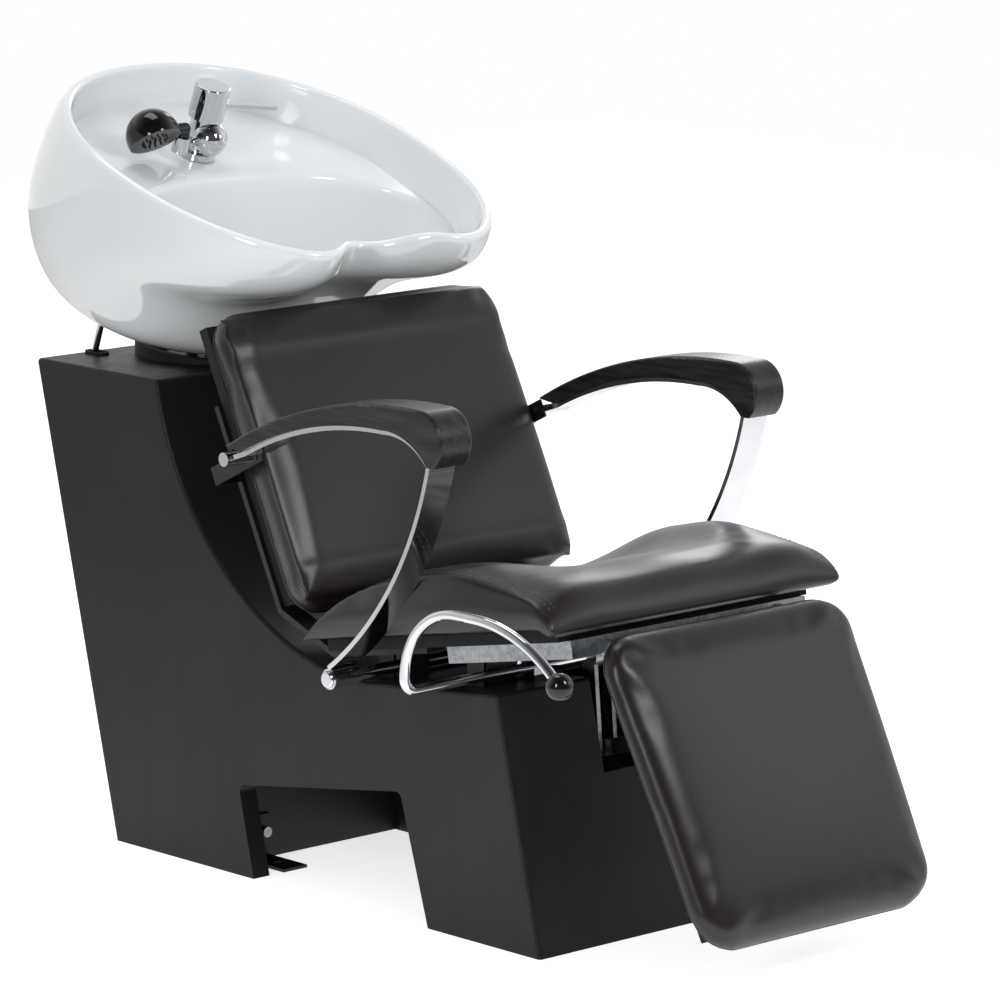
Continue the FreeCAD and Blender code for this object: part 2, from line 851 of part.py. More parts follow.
def cap_underside():
    # Points of the cap's lower line, which the bar follows: lip, throat, shoulder, belly and heel.
    lip = (cap_nose_y + cap_lip, cap_nose_z + cap_lip_rise)
    throat = (cap_nose_y + cap_throat_back, cap_nose_z + cap_throat_rise)
    shoulder = (cap_nose_y + cap_shoulder_back, cap_nose_z + cap_shoulder_rise)
    belly = (cap_tail_y - cap_belly_back, cap_tail_z + cap_belly_rise)
    heel = (cap_tail_y - cap_heel_back, cap_tail_z - cap_heel_drop)
    return lip, throat, shoulder, belly, heel


def cap_outline():
    crest = (cap_nose_y + cap_crest_back, cap_nose_z + cap_nose_height)
    over = (cap_tail_y - cap_top_back, cap_tail_z + cap_top_rise)
    top = trace((cap_tail_y, cap_tail_z), (over, crest))
    nose = tangent_arc(vec(*crest), top[0].tangentAt(top[0].LastParameter), vec(cap_nose_y, cap_nose_z))
    lip, throat, shoulder, belly, heel = cap_underside()
    tip = (cap_nose_y, cap_nose_z)
    under = trace(tip, lip, (throat, shoulder), (belly, heel), (cap_tail_y, cap_tail_z))
    return top + [nose] + under


def make_arm_cap():
    cap = slab(cap_outline(), cap_inner_x, cap_outer_x)
    crown = cap_nose_z + cap_shoulder_rise + cap_edge_round
    edges = [e for e in cap.Edges if e.BoundBox.XLength < 0.1 and e.BoundBox.ZMax > crown]
    return cap.makeFillet(cap_edge_round, edges)


def arm_bar_path():
    # From the rear eye along the cap's underside, round its throat and in a long sweep to the foot.
    foot = (cross_bar_y, cross_bar_z + arm_eye_radius - arm_foot_overlap)
    lip, throat, shoulder, belly, heel = cap_underside()
    sweep = ((cap_nose_y + foot[0]) / 2.0 - arm_sweep + arm_bar_thickness,
             (cap_nose_z + foot[1]) / 2.0 - arm_sweep)
    start = (arm_rear_eye_y - arm_eye_inset, arm_rear_eye_z + arm_eye_inset)
    return trace(start, heel, (belly, shoulder), (throat, lip), (sweep, foot))


def make_arm_bar():
    strip = Part.Wire(arm_bar_path()).makeOffset2D(-arm_bar_thickness, 2, True, True)
    strip.translate(V(arm_inner_x, 0, 0))
    bar = strip.extrude(V(arm_bar_width, 0, 0))
    eye = rod_x(arm_inner_x, arm_outer_x, cross_bar_y, cross_bar_z, arm_eye_radius)
    rear_eye = rod_x(arm_inner_x, arm_outer_x, arm_rear_eye_y, arm_rear_eye_z, arm_rear_eye_radius)
    holes = [rod_x(arm_inner_x - 1.0, arm_outer_x + 1.0, cross_bar_y, cross_bar_z,
                   cross_bar_radius + hole_clearance),
             rod_x(arm_inner_x - 1.0, arm_outer_x + 1.0, arm_rear_eye_y, arm_rear_eye_z,
                   arm_bolt_radius + hole_clearance)]
    return bar.fuse([eye, rear_eye]).cut(holes).removeSplitter()


def make_arm_cross_bar():
    return rod_x(-arm_outer_x, arm_outer_x, cross_bar_y, cross_bar_z, cross_bar_radius)


def make_cross_bar_clamps():
    half = cross_bar_radius + cross_bar_clamp_cover
    x0 = cross_bar_clamp_x - cross_bar_clamp_half
    x1 = cross_bar_clamp_x + cross_bar_clamp_half
    top = cross_bar_z + half
    y0 = cross_bar_y - half
    y1 = cross_bar_y + half
    body = plate([(y0, ledge_z(y0)), (y1, ledge_z(y1)), (y1, top), (y0, top)], x0, x1)
    hole = rod_x(x0 - 1.0, x1 + 1.0, cross_bar_y, cross_bar_z, cross_bar_radius + hole_clearance)
    return both(body.cut(hole))


def make_arm_end_bolts():
    # One domed bolt in each end of the cross bar and one through each rear eye into its bracket.
    solids = []
    foot = rod_x(arm_outer_x, arm_outer_x + bolt_head_height, cross_bar_y, cross_bar_z,
                 arm_eye_radius - arm_foot_head_inset)
    rim = [e for e in foot.Edges if abs(e.BoundBox.XMin - arm_outer_x - bolt_head_height) < 0.1]
    solids.append(foot.makeFillet(bolt_head_height * 0.6, rim))
    inner = arm_inner_x - back_bracket_gap - back_bracket_wall
    stem = rod_x(inner, arm_outer_x, arm_rear_eye_y, arm_rear_eye_z, arm_bolt_radius)
    head = rod_x(arm_outer_x, arm_outer_x + bolt_head_height, arm_rear_eye_y, arm_rear_eye_z,
                 arm_rear_eye_radius)
    solids.append(stem.fuse(head).removeSplitter())
    return Part.makeCompound(solids + [mirrored(s) for s in solids])


def make_arm_back_brackets():
    # Side plate from the rear of the back board to the arm's rear eye, folded in behind the board.
    eye = local(arm_rear_eye_y, arm_rear_eye_z, back_lean, back_bottom_y, back_bottom_z)
    z0 = eye[1] - back_bracket_half_height
    z1 = eye[1] + back_bracket_half_height
    x1 = arm_inner_x - back_bracket_gap
    x0 = x1 - back_bracket_wall
    rear = back_board_front() + back_board_thickness
    side = block(x0, x1, eye[0] - back_bracket_half_height, rear + back_bracket_wall, z0, z1)
    fold = block(rail_centre_x + upright_width / 2.0 + 1.0, x1, rear, rear + back_bracket_wall, z0, z1)
    bracket = in_back(side.fuse(fold).removeSplitter())
    hole = rod_x(x0 - 1.0, x1 + 1.0, arm_rear_eye_y, arm_rear_eye_z, arm_bolt_radius + hole_clearance)
    return both(bracket.cut(hole))


# Lever, crank and link

def lever_path():
    x_bend = lever_plane_x + lever_corner_radius
    y = lever_shaft_y
    z = lever_shaft_z
    r = lever_corner_radius
    k = math.sqrt(0.5)
    rise_z = z + r
    top_z = rise_z + lever_rise_radius
    top_y = y - lever_rise_radius
    flat_y = top_y - lever_flat
    fall = math.radians(lever_fall_angle)
    half = fall / 2.0

    def falling(angle):
        return V(lever_plane_x, flat_y - lever_fall_radius * math.sin(angle),
                 top_z - lever_fall_radius * (1.0 - math.cos(angle)))

    corner = V(lever_plane_x, y, rise_z)
    top = V(lever_plane_x, top_y, top_z)
    flat = V(lever_plane_x, flat_y, top_z)
    start = V(x_bend, y, z)
    edges = [
        Part.LineSegment(V(lever_shaft_end_x, y, z), start).toShape(),
        Part.Arc(start, V(x_bend - r * k, y, z + r * (1.0 - k)), corner).toShape(),
        Part.Arc(corner, V(lever_plane_x, y - lever_rise_radius * (1.0 - k),
                           rise_z + lever_rise_radius * k), top).toShape(),
        Part.LineSegment(top, flat).toShape(),
        Part.Arc(flat, falling(half), falling(fall)).toShape()]
    return edges, falling(fall), V(0, -math.cos(fall), -math.sin(fall))


def make_lever_rod():
    edges, _, _ = lever_path()
    start = V(lever_shaft_end_x, lever_shaft_y, lever_shaft_z)
    ring = Part.Wire(Part.Circle(start, V(1, 0, 0), lever_rod_radius).toShape())
    return Part.Wire(edges).makePipeShell([ring], True, False)


def make_ball_knob():
    _, tip, direction = lever_path()
    knob = Part.makeSphere(knob_radius, tip + direction * (knob_radius - knob_seat))
    return knob.cut(make_lever_rod())


def make_shaft_bushes():
    # A round eye on a foot that follows the slope of the ledge.
    half = lever_rod_radius + bush_wall
    y0 = lever_shaft_y - half
    y1 = lever_shaft_y + half
    x0 = bush_x - bush_width / 2.0
    x1 = bush_x + bush_width / 2.0
    foot = plate([(y0, ledge_z(y0)), (y1, ledge_z(y1)), (y1, lever_shaft_z), (y0, lever_shaft_z)], x0, x1)
    ring = rod_x(x0, x1, lever_shaft_y, lever_shaft_z, half)
    below = plate([(y0, ledge_z(y0)), (y1, ledge_z(y1)), (y1, ledge_z(y1) - half),
                   (y0, ledge_z(y0) - half)], x0, x1)
    hole = rod_x(x0 - 1.0, x1 + 1.0, lever_shaft_y, lever_shaft_z, lever_rod_radius + pivot_clearance)
    return both(foot.fuse(ring.cut(below)).cut(hole).removeSplitter())


def make_crank_arm():
    shaft = (lever_shaft_y, lever_shaft_z)
    hub = rod_x(-cheek_outer_x, cheek_outer_x, shaft[0], shaft[1], lever_rod_radius + bush_wall)
    cheeks = [ear_link(shaft, crank_pivot, ear_radius, x0, x0 + ear_wall)
              for x0 in (-cheek_outer_x, cheek_inner_x)]
    shaft_hole = rod_x(-cheek_outer_x - 1.0, cheek_outer_x + 1.0, shaft[0], shaft[1], lever_rod_radius)
    pin_hole = rod_x(-cheek_outer_x - 1.0, cheek_outer_x + 1.0, crank_pivot[0], crank_pivot[1],
                     pivot_radius)
    return hub.fuse(cheeks).cut([shaft_hole, pin_hole]).removeSplitter()


def pivot_pin(place, reach):
    pin = rod_x(-reach, reach, place[0], place[1], pivot_radius)
    heads = [rod_x(x, x + bolt_head_height, place[0], place[1], bolt_head_radius)
             for x in (-reach - bolt_head_height, reach)]
    return pin.fuse(heads).removeSplitter()


def make_drive_link():
    bar = ear_link(crank_pivot, link_pivot, ear_radius - 1.0, -link_half_width, link_half_width)
    reach = link_half_width + 1.0
    return bar.cut([
        rod_x(-reach, reach, crank_pivot[0], crank_pivot[1], pivot_radius + pivot_clearance),
        rod_x(-reach, reach, link_pivot[0], link_pivot[1], pivot_radius + open_pivot_clearance)])


# Leg rest

def make_leg_cushion():
    pad = upright_pad(leg_height, leg_half_width_bottom, leg_half_width_top, leg_side_taper,
                      leg_rear_depth, leg_edge_front, leg_crown)
    pad.translate(V(0, 0, -leg_height))
    return in_leg(pad)


def leg_board_rear():
    return leg_rear_depth + soft_gap + leg_board_thickness


def leg_plate_rear():
    return leg_board_rear() + leg_plate_wall


def leg_screw_places():
    return [V(x, leg_plate_rear(), -z) for x in (-leg_screw_x, leg_screw_x)
            for z in (leg_board_inset + leg_screw_down, leg_plate_height - leg_screw_up)]


def make_leg_board():
    half = leg_half_width_bottom - leg_board_inset
    board = block(-half, half, leg_rear_depth + soft_gap, leg_board_rear(),
                  -leg_height + leg_board_inset, -leg_board_inset)
    length = leg_plate_wall + leg_board_thickness * 0.8
    return in_leg(board.cut(screw_bores(leg_screw_places(), V(0, -1, 0), length)))


def make_leg_bracket():
    # Pressed plate on the back of the board, two hinge ears at its top and two long ears for the link.
    sheet = block(-leg_plate_half_width, leg_plate_half_width, leg_board_rear(), leg_plate_rear(),
                  -leg_plate_height, -leg_board_inset - leg_plate_set_down)
    length = leg_plate_wall + leg_board_thickness * 0.8
    sheet = in_leg(sheet.cut(screw_bores(leg_screw_places(), V(0, -1, 0), length)))
    ears = []
    hinge_root = leg_point(leg_plate_rear() - leg_plate_wall / 2.0, -leg_board_inset - 2.0 * ear_radius)
    inner = leg_hinge_x + ear_wall / 2.0 + hinge_side_gap
    for x0 in (inner, -inner - ear_wall):
        ears.append(ear_link(hinge_root, hinge, ear_radius - 1.0, x0, x0 + ear_wall))
    _, down = local(link_pivot[0], link_pivot[1], leg_lean, leg_top_y, leg_top_z)
    link_root = leg_point(leg_plate_rear(), down)
    for x0 in (-cheek_outer_x, cheek_inner_x):
        ears.append(ear_link(link_root, link_pivot, ear_radius, x0, x0 + ear_wall))
    front = in_leg(block(-leg_half_width_top, leg_half_width_top, -leg_height, leg_board_rear(),
                         -leg_height, leg_height))
    reach = leg_hinge_x + leg_plate_half_width
    holes = [rod_x(-reach, reach, hinge[0], hinge[1], pivot_radius + pivot_clearance),
             rod_x(-reach, reach, link_pivot[0], link_pivot[1], pivot_radius)]
    return sheet.fuse([e.cut(front) for e in ears]).cut(holes).removeSplitter()


def make_leg_screws():
    length = leg_plate_wall + leg_board_thickness * 0.6
    return Part.makeCompound([
        in_leg(bolt(p, V(0, -1, 0), screw_shank_radius, length, screw_head_radius, screw_head_height))
        for p in leg_screw_places()])


def make_leg_hinge_pins():
    # Each pin is held in its lug and turns in the leg rest's ear.
    x0 = leg_hinge_x - ear_wall / 2.0 - bolt_head_height
    x1 = leg_hinge_x + ear_wall * 1.5 + hinge_side_gap + 1.0
    pin = rod_x(x0, x1, hinge[0], hinge[1], pivot_radius)
    head = rod_x(x0, x0 + bolt_head_height, hinge[0], hinge[1], bolt_head_radius)
    return both(pin.fuse(head).removeSplitter())


# Basin

def ring_at(depth, front, rear, half, recess):
    # Closed oval at one depth below the rim, with fuller front corners lower down and with the
    # hollow for the neck pushed into its front.
    middle = (front + rear) / 2.0
    reach = (rear - front) / 2.0
    below = (depth - corner_full_depth) / corner_full_spread
    full = 2.0 / ring_power + corner_fullness * math.exp(-below ** 2)
    points = []
    for i in range(ring_points):
        a = 2.0 * math.pi * i / ring_points
        c = math.copysign(abs(math.cos(a)) ** ring_power, math.cos(a))
        s = math.copysign(abs(math.sin(a)) ** ring_power, math.sin(a))
        if c < 0:
            c = -max(0.0, 1.0 - abs(s) ** full) ** (1.0 / full)
        x = half * s
        y = middle + reach * c
        if c < 0:
            y += recess * math.exp(-(x / neck_spread) ** 2)
        points.append(V(x, y, -depth))
    curve = Part.BSplineCurve()
    curve.interpolate(points, PeriodicFlag=True)
    return Part.Wire(curve.toShape())


def basin_outside():
    # Depth, front, rear, half width and neck hollow of the body from the rim to its foot.
    a = rim_half_length
    w = rim_half_width
    levels = ((0.0, -a, a, w, neck_recess), (18.0, 1.0 - a, a + 12.0, w + 4.0, neck_recess),
              (44.0, 15.0 - a, a + 20.0, w + 4.0, neck_recess - 14.0),
              (80.0, 69.0 - a, a + 23.0, w, neck_recess - 60.0),
              (112.0, 134.0 - a, a + 23.0, w - 7.0, 26.0), (142.0, 170.0 - a, a + 23.0, w - 15.0, 0.0),
              (190.0, 188.0 - a, a + 22.0, w - 32.0, 0.0), (238.0, 213.0 - a, a - 2.0, w - 56.0, 0.0),
              (basin_depth, 279.0 - a, a - 76.0, w - 104.0, 0.0))
    return Part.makeLoft([ring_at(*level) for level in levels], True, False)


def basin_inside():
    a = rim_half_length - basin_wall
    w = rim_half_width - basin_wall
    levels = ((-12.0, -a - 2.0, a + 2.0, w + 2.0, neck_recess + 2.0),
              (18.0, 4.0 - a, a + 6.0, w, neck_recess),
              (60.0, 58.0 - a, a + 8.0, w - 4.0, neck_recess - 34.0),
              (112.0, 168.0 - a, a + 6.0, w - 18.0, 30.0), (160.0, 204.0 - a, a - 6.0, w - 36.0, 0.0),
              (208.0, 214.0 - a, a - 66.0, w - 66.0, 0.0),
              (bowl_floor, 250.0 - a, a - 150.0, w - 130.0, 0.0))
    return Part.makeLoft([ring_at(*level) for level in levels], True, False)


def basin_hollow():
    # The space under the tap deck, open at the foot, that makes the rear of the casting a shell.
    a = rim_half_length - basin_wall
    w = rim_half_width - basin_wall
    front = deck_front + basin_wall
    levels = ((deck_depth + deck_wall, front, a + 18.0, w - 63.0), (142.0, front, a + 18.0, w - 85.0),
              (190.0, front, a + 14.0, w - 100.0), (238.0, front, a - 30.0, w - 125.0),
              (basin_depth + 1.0, front, a - 95.0, w - 170.0))
    return Part.makeLoft([ring_at(*level, 0.0) for level in levels], True, False)


def make_basin():
    outside = basin_outside()
    inside = basin_inside()
    wide = 2.0 * rim_half_width
    shelf = block(-wide, wide, deck_front, wide, -basin_depth, -deck_depth)
    shelf = shelf.makeFillet(deck_wall * 1.4, [e for e in shelf.Edges
                             if abs(e.Vertexes[0].Y - deck_front) < 0.1
                             and abs(e.Vertexes[-1].Y - deck_front) < 0.1
                             and abs(e.Vertexes[0].Z + deck_depth) < 0.1
                             and abs(e.Vertexes[-1].Z + deck_depth) < 0.1])
    bowl = outside.cut(inside.cut(shelf))
    lip_start = V(0, -rim_half_length * 1.2, neck_radius - neck_drop)
    lip = Part.makeCylinder(neck_radius, rim_half_length, lip_start, V(0, 1, 0))
    hole = rod_z(0, tap_on_deck, -2.0 * deck_depth, 0.0, tap_hole_radius + hole_clearance)
    drain = rod_z(0, waste_along, -2.0 * basin_depth, 0.0, waste_hole_radius)
    seat = rod_z(0, waste_along, -bowl_floor, -bowl_floor + 40.0, waste_radius + hole_clearance)
    return in_basin(bowl.cut([lip, basin_hollow(), hole, drain, seat]))


def make_waste_strainer():
    floor = -bowl_floor
    disc = rod_z(0, waste_along, floor, floor + waste_flange_thickness, waste_radius)
    end = -basin_depth - tilt_plate_wall - waste_nut_height
    tube = rod_z(0, waste_along, end, floor, waste_pipe_radius)
    inner = waste_pipe_radius - waste_pipe_wall
    bore_hole = rod_z(0, waste_along, -2.0 * basin_depth, 0.0, inner)
    bars = [block(-inner - 1.0, inner + 1.0, waste_along + y - waste_bar_width / 2.0,
                  waste_along + y + waste_bar_width / 2.0, floor, floor + waste_flange_thickness)
            for y in (-inner / 2.0, 0.0, inner / 2.0)]
    return in_basin(disc.fuse(tube).cut(bore_hole).fuse(bars).removeSplitter())


def make_waste_nut():
    top = -basin_depth - tilt_plate_wall
    nut = rod_z(0, waste_along, top - waste_nut_height, top, waste_nut_radius)
    hole = rod_z(0, waste_along, top - 2.0 * waste_nut_height, top + 1.0, waste_pipe_radius)
    return in_basin(nut.cut(hole))


def make_waste_tail():
    top = -basin_depth - tilt_plate_wall - waste_nut_height
    end = top - waste_tail_length
    pipe = rod_z(0, waste_along, end, top, waste_pipe_radius)
    return in_basin(pipe.cut(rod_z(0, waste_along, end - 1.0, top + 1.0,
                                   waste_pipe_radius - waste_pipe_wall)))


# Basin tilt

def tilt_bolts_at():
    across = tilt_plate_half_x - tilt_bolt_inset
    along = tilt_plate_half_y - tilt_bolt_inset
    return [(x, tilt_axis_y + y) for x in (-across, across) for y in (-along, along)]


def tilt_bolt_bores():
    return [rod_z(x, y, cabinet_height - 2.0 * cabinet_wall, cabinet_height + 2.0 * tilt_plate_wall,
                  bolt_shank_radius + hole_clearance) for x, y in tilt_bolts_at()]


def tilt_ears(inner, foot, lift):
    pair = []
    for x0 in (inner, -inner - tilt_ear_wall):
        pair.append(ear_link(foot, (tilt_axis_y, tilt_axis_z), lift, x0, x0 + tilt_ear_wall))
    return pair


def make_tilt_pedestal():
    # Base plate on the cabinet top with two upright ears for the tilt pins.
    top = cabinet_height + tilt_plate_wall
    sheet = block(-tilt_plate_half_x, tilt_plate_half_x, tilt_axis_y - tilt_plate_half_y,
                  tilt_axis_y + tilt_plate_half_y, cabinet_height, top)
    hole = rod_z(0, waste_y, 0.0, 2.0 * cabinet_height, waste_slot_radius - waste_slot_step)
    ears = tilt_ears(tilt_ear_x, (tilt_axis_y, cabinet_height), tilt_ear_radius)
    below = block(-tilt_plate_half_x, tilt_plate_half_x, 0.0, rear_top_y, 0.0, cabinet_height)
    pins = rod_x(-tilt_plate_half_x, tilt_plate_half_x, tilt_axis_y, tilt_axis_z, pivot_radius)
    cuts = [hole, pins] + tilt_bolt_bores()
    return sheet.fuse([e.cut(below) for e in ears]).cut(cuts).removeSplitter()


def make_tilt_bolts():
    length = cabinet_wall + tilt_plate_wall + bolt_nut_height
    top = cabinet_height + tilt_plate_wall
    return Part.makeCompound([
        bolt(V(x, y, top), V(0, 0, -1), bolt_shank_radius, length, bolt_head_radius, bolt_head_height)
        for x, y in tilt_bolts_at()])


def make_basin_saddle():
    # Plate under the basin's foot with two lugs that hang outside the pedestal's ears.
    axis = local(tilt_axis_y, tilt_axis_z, -rim_tilt, rim_centre_y, rim_centre_z)
    under = -basin_depth
    sheet = block(-tilt_plate_half_x, tilt_plate_half_x, axis[0] - saddle_half_y,
                  axis[0] + saddle_half_y, under - tilt_plate_wall, under)
    hole = rod_z(0, waste_along, 2.0 * under, 0.0, waste_pipe_radius + hole_clearance)
    lug_x = tilt_ear_x + tilt_ear_wall + hinge_side_gap
    root = basin_point(axis[0], under - tilt_plate_wall / 2.0)
    lugs = tilt_ears(lug_x, root, tilt_ear_radius)
    above = in_basin(block(-tilt_plate_half_x, tilt_plate_half_x, -rim_half_length, rim_half_length,
                           under, 0.0))
    pins = rod_x(-tilt_plate_half_x - 1.0, tilt_plate_half_x + 1.0, tilt_axis_y, tilt_axis_z,
                 pivot_radius + pivot_clearance)
    sheet = in_basin(sheet.cut(hole))
    return sheet.fuse([g.cut(above) for g in lugs]).cut(pins).removeSplitter()


def make_tilt_pins():
    x0 = tilt_ear_x - bolt_head_height
    x1 = tilt_ear_x + 2.0 * tilt_ear_wall + hinge_side_gap + 1.0
    pin = rod_x(x0, x1, tilt_axis_y, tilt_axis_z, pivot_radius)
    head = rod_x(x0, tilt_ear_x, tilt_axis_y, tilt_axis_z, bolt_head_radius)
    return both(pin.fuse(head).removeSplitter())


def make_basin_collar():
    # Rubber skirt round the tilt gear, higher towards the rear.
    tall = collar_front_height + 2.0 * collar_radius * math.tan(math.radians(collar_slope))
    y0 = tilt_axis_y - collar_radius
    y1 = tilt_axis_y + collar_radius
    z0 = cabinet_height
    wedge = plate([(y0, z0), (y1, z0), (y1, z0 + tall), (y0, z0 + collar_front_height)],
                  -collar_radius, collar_radius)
    ring = rod_z(0, tilt_axis_y, z0, z0 + tall, collar_radius)
    ring = ring.cut(rod_z(0, tilt_axis_y, z0 - 1.0, z0 + tall + 1.0, collar_radius - collar_wall))
    return ring.common(wedge)


def make_guide_rods():
    foot = local(guide_rod_y, cabinet_height, -rim_tilt, rim_centre_y, rim_centre_z)
    rod = rod_z(guide_rod_x, foot[0], foot[1] - guide_rod_below, -deck_depth - deck_wall, guide_rod_radius)
    return both(in_basin(rod.cut(basin_outside())))


# Mixer tap

def in_tap(shape):
    done = shape.copy()
    done.translate(V(0, tap_on_deck, deck_top))
    return in_basin(done)


def make_tap_flange():
    ring = rod_z(0, 0, 0.0, tap_flange_height, tap_flange_radius)
    ring = ring.makeFillet(1.5, [e for e in ring.Edges if abs(e.BoundBox.ZMin - tap_flange_height) < 0.1])
    return in_tap(ring.cut(rod_z(0, 0, -1.0, tap_flange_height + 1.0, tap_hole_radius)))


def make_tap_body():
    base = tap_flange_height
    top = base + tap_body_height
    barrel = rod_z(0, 0, base, top, tap_body_radius)
    spigot = rod_z(0, 0, top, top + tap_spigot_height, tap_spigot_radius)
    ball = Part.makeSphere(tap_ball_radius, V(0, -tap_ball_forward, tap_ball_height))
    ball = ball.cut(block(-tap_cap_radius, tap_cap_radius, -2.0 * tap_cap_radius, tap_cap_radius,
                          -tap_cap_radius, base))
    arm = rod_x(-holder_reach, 0.0, -tap_ball_forward * 0.5, holder_height, holder_arm_radius)
    shank = rod_z(0, 0, -deck_wall - tap_shank_below, base, tap_hole_radius)
    return in_tap(barrel.fuse([spigot, ball, arm, shank]).cut(shower_socket(-1.0)).removeSplitter())


def shower_socket(grow):
    y = -tap_ball_forward * 0.5
    return rod_z(-holder_reach, y, holder_height - 40.0, holder_height + 40.0, holder_radius + grow)


def make_shower_holder():
    y = -tap_ball_forward * 0.5
    half = holder_radius * 0.9
    cup = rod_z(-holder_reach, y, holder_height - half, holder_height + half, holder_radius)
    well = rod_z(-holder_reach, y, holder_height + half - shower_seat_depth, holder_height + half + 1.0,
                 shower_neck_radius + shower_seat_clearance)
    arm = rod_x(-holder_reach, 0.0, y, holder_height, holder_arm_radius)
    return in_tap(cup.cut([well, arm]))


def make_tap_nut():
    top = -deck_wall
    nut = rod_z(0, 0, top - tap_nut_height, top, tap_nut_radius)
    return in_tap(nut.cut(rod_z(0, 0, top - 2.0 * tap_nut_height, top + 1.0, tap_hole_radius)))


def cap_base():
    return tap_flange_height + tap_body_height + tap_cap_gap


def in_cap(shape):
    done = shape.copy()
    done.rotate(V(0, 0, 0), V(0, 0, 1), -tap_lever_swing)
    done.translate(V(0, 0, cap_base() + tap_lever_height))
    return in_tap(done)


def lever_pin(radius, reach):
    x = tap_spigot_radius + tap_lever_pin_out
    return Part.makeCylinder(radius, 2.0 * reach, V(x, -reach, 0), V(0, 1, 0))


def make_tap_lever_pin():
    return in_cap(lever_pin(tap_lever_pin_radius, tap_lever_pin_reach))


def make_tap_cap():
    z0 = -tap_lever_height
    z1 = tap_cap_height - tap_lever_height
    cap = rod_z(0, 0, z0, z1, tap_cap_radius)
    cap = cap.makeFillet(2.0, [e for e in cap.Edges if abs(e.BoundBox.ZMin - z1) < 0.1])
    roof = z0 + tap_spigot_height + tap_cap_gap
    socket = rod_z(0, 0, z0 - 1.0, roof, tap_spigot_radius + pivot_clearance)
    half = tap_lever_width / 2.0 + tap_lever_slot_gap
    low = tap_lever_thickness / 2.0 + tap_lever_slot_gap
    mouth = block(tap_spigot_radius + 2.0, 2.0 * tap_cap_radius, -half, half, -low,
                  low + tap_cap_radius * 0.4)
    return in_cap(cap.cut([socket, mouth, lever_pin(tap_lever_pin_radius, tap_lever_pin_reach)]))


def make_tap_lever():
    x0 = tap_spigot_radius + 3.0
    x1 = tap_cap_radius + tap_lever_length
    half = tap_lever_width / 2.0
    bar = block(x0, x1, -half, half, -tap_lever_thickness / 2.0, tap_lever_thickness / 2.0)
    bar = bar.makeFillet(half * 0.6, [e for e in bar.Edges
                         if abs(e.Vertexes[0].X - x1) < 0.1 and abs(e.Vertexes[-1].X - x1) < 0.1
                         and abs(e.Vertexes[0].Z - e.Vertexes[-1].Z) > 1.0])
    return in_cap(bar.cut(lever_pin(tap_lever_pin_radius + pivot_clearance, tap_lever_width)))


# Hand shower

def make_hand_shower():
    # Domed spray head beside the tap on a short neck that stands in the holder.
    y = -tap_ball_forward * 0.5
    seat = holder_height + holder_radius * 0.9 - shower_seat_depth + 0.3
    elbow = holder_height + holder_radius * 0.9 + shower_neck_radius + 3.0
    neck = rod_z(-holder_reach, y, seat, elbow, shower_neck_radius)
    stem = Part.makeCylinder(shower_neck_radius, shower_head_reach - holder_reach,
                             V(-holder_reach, y, elbow), V(-1, 0, 0))
    joint = Part.makeSphere(shower_neck_radius, V(-holder_reach, y, elbow))
    dome = shower_dome(elbow)
    return in_tap(neck.fuse([stem, joint, dome]).cut(spray_disc(elbow)).removeSplitter())


def face_direction():
    a = math.radians(shower_face_tilt)
    return V(0, -math.sin(a), -math.cos(a))


def head_centre(elbow):
    return V(-shower_head_reach, -tap_ball_forward * 0.5, elbow - 6.0)


def shower_dome(elbow):
    centre = head_centre(elbow)
    ball = Part.makeSphere(shower_head_radius, centre)
    cutter = Part.makeCylinder(2.0 * shower_head_radius, 2.0 * shower_head_radius,
                               centre + face_direction() * 8.0, face_direction())
    return ball.cut(cutter)


def spray_disc(elbow):
    start = head_centre(elbow) + face_direction() * (8.0 - spray_plate_thickness)
    return Part.makeCylinder(spray_plate_radius, spray_plate_thickness + 1.0, start, face_direction())


def make_spray_plate():
    elbow = holder_height + holder_radius * 0.9 + shower_neck_radius + 3.0
    start = head_centre(elbow) + face_direction() * (8.0 - spray_plate_thickness)
    return in_tap(Part.makeCylinder(spray_plate_radius, spray_plate_thickness, start, face_direction()))


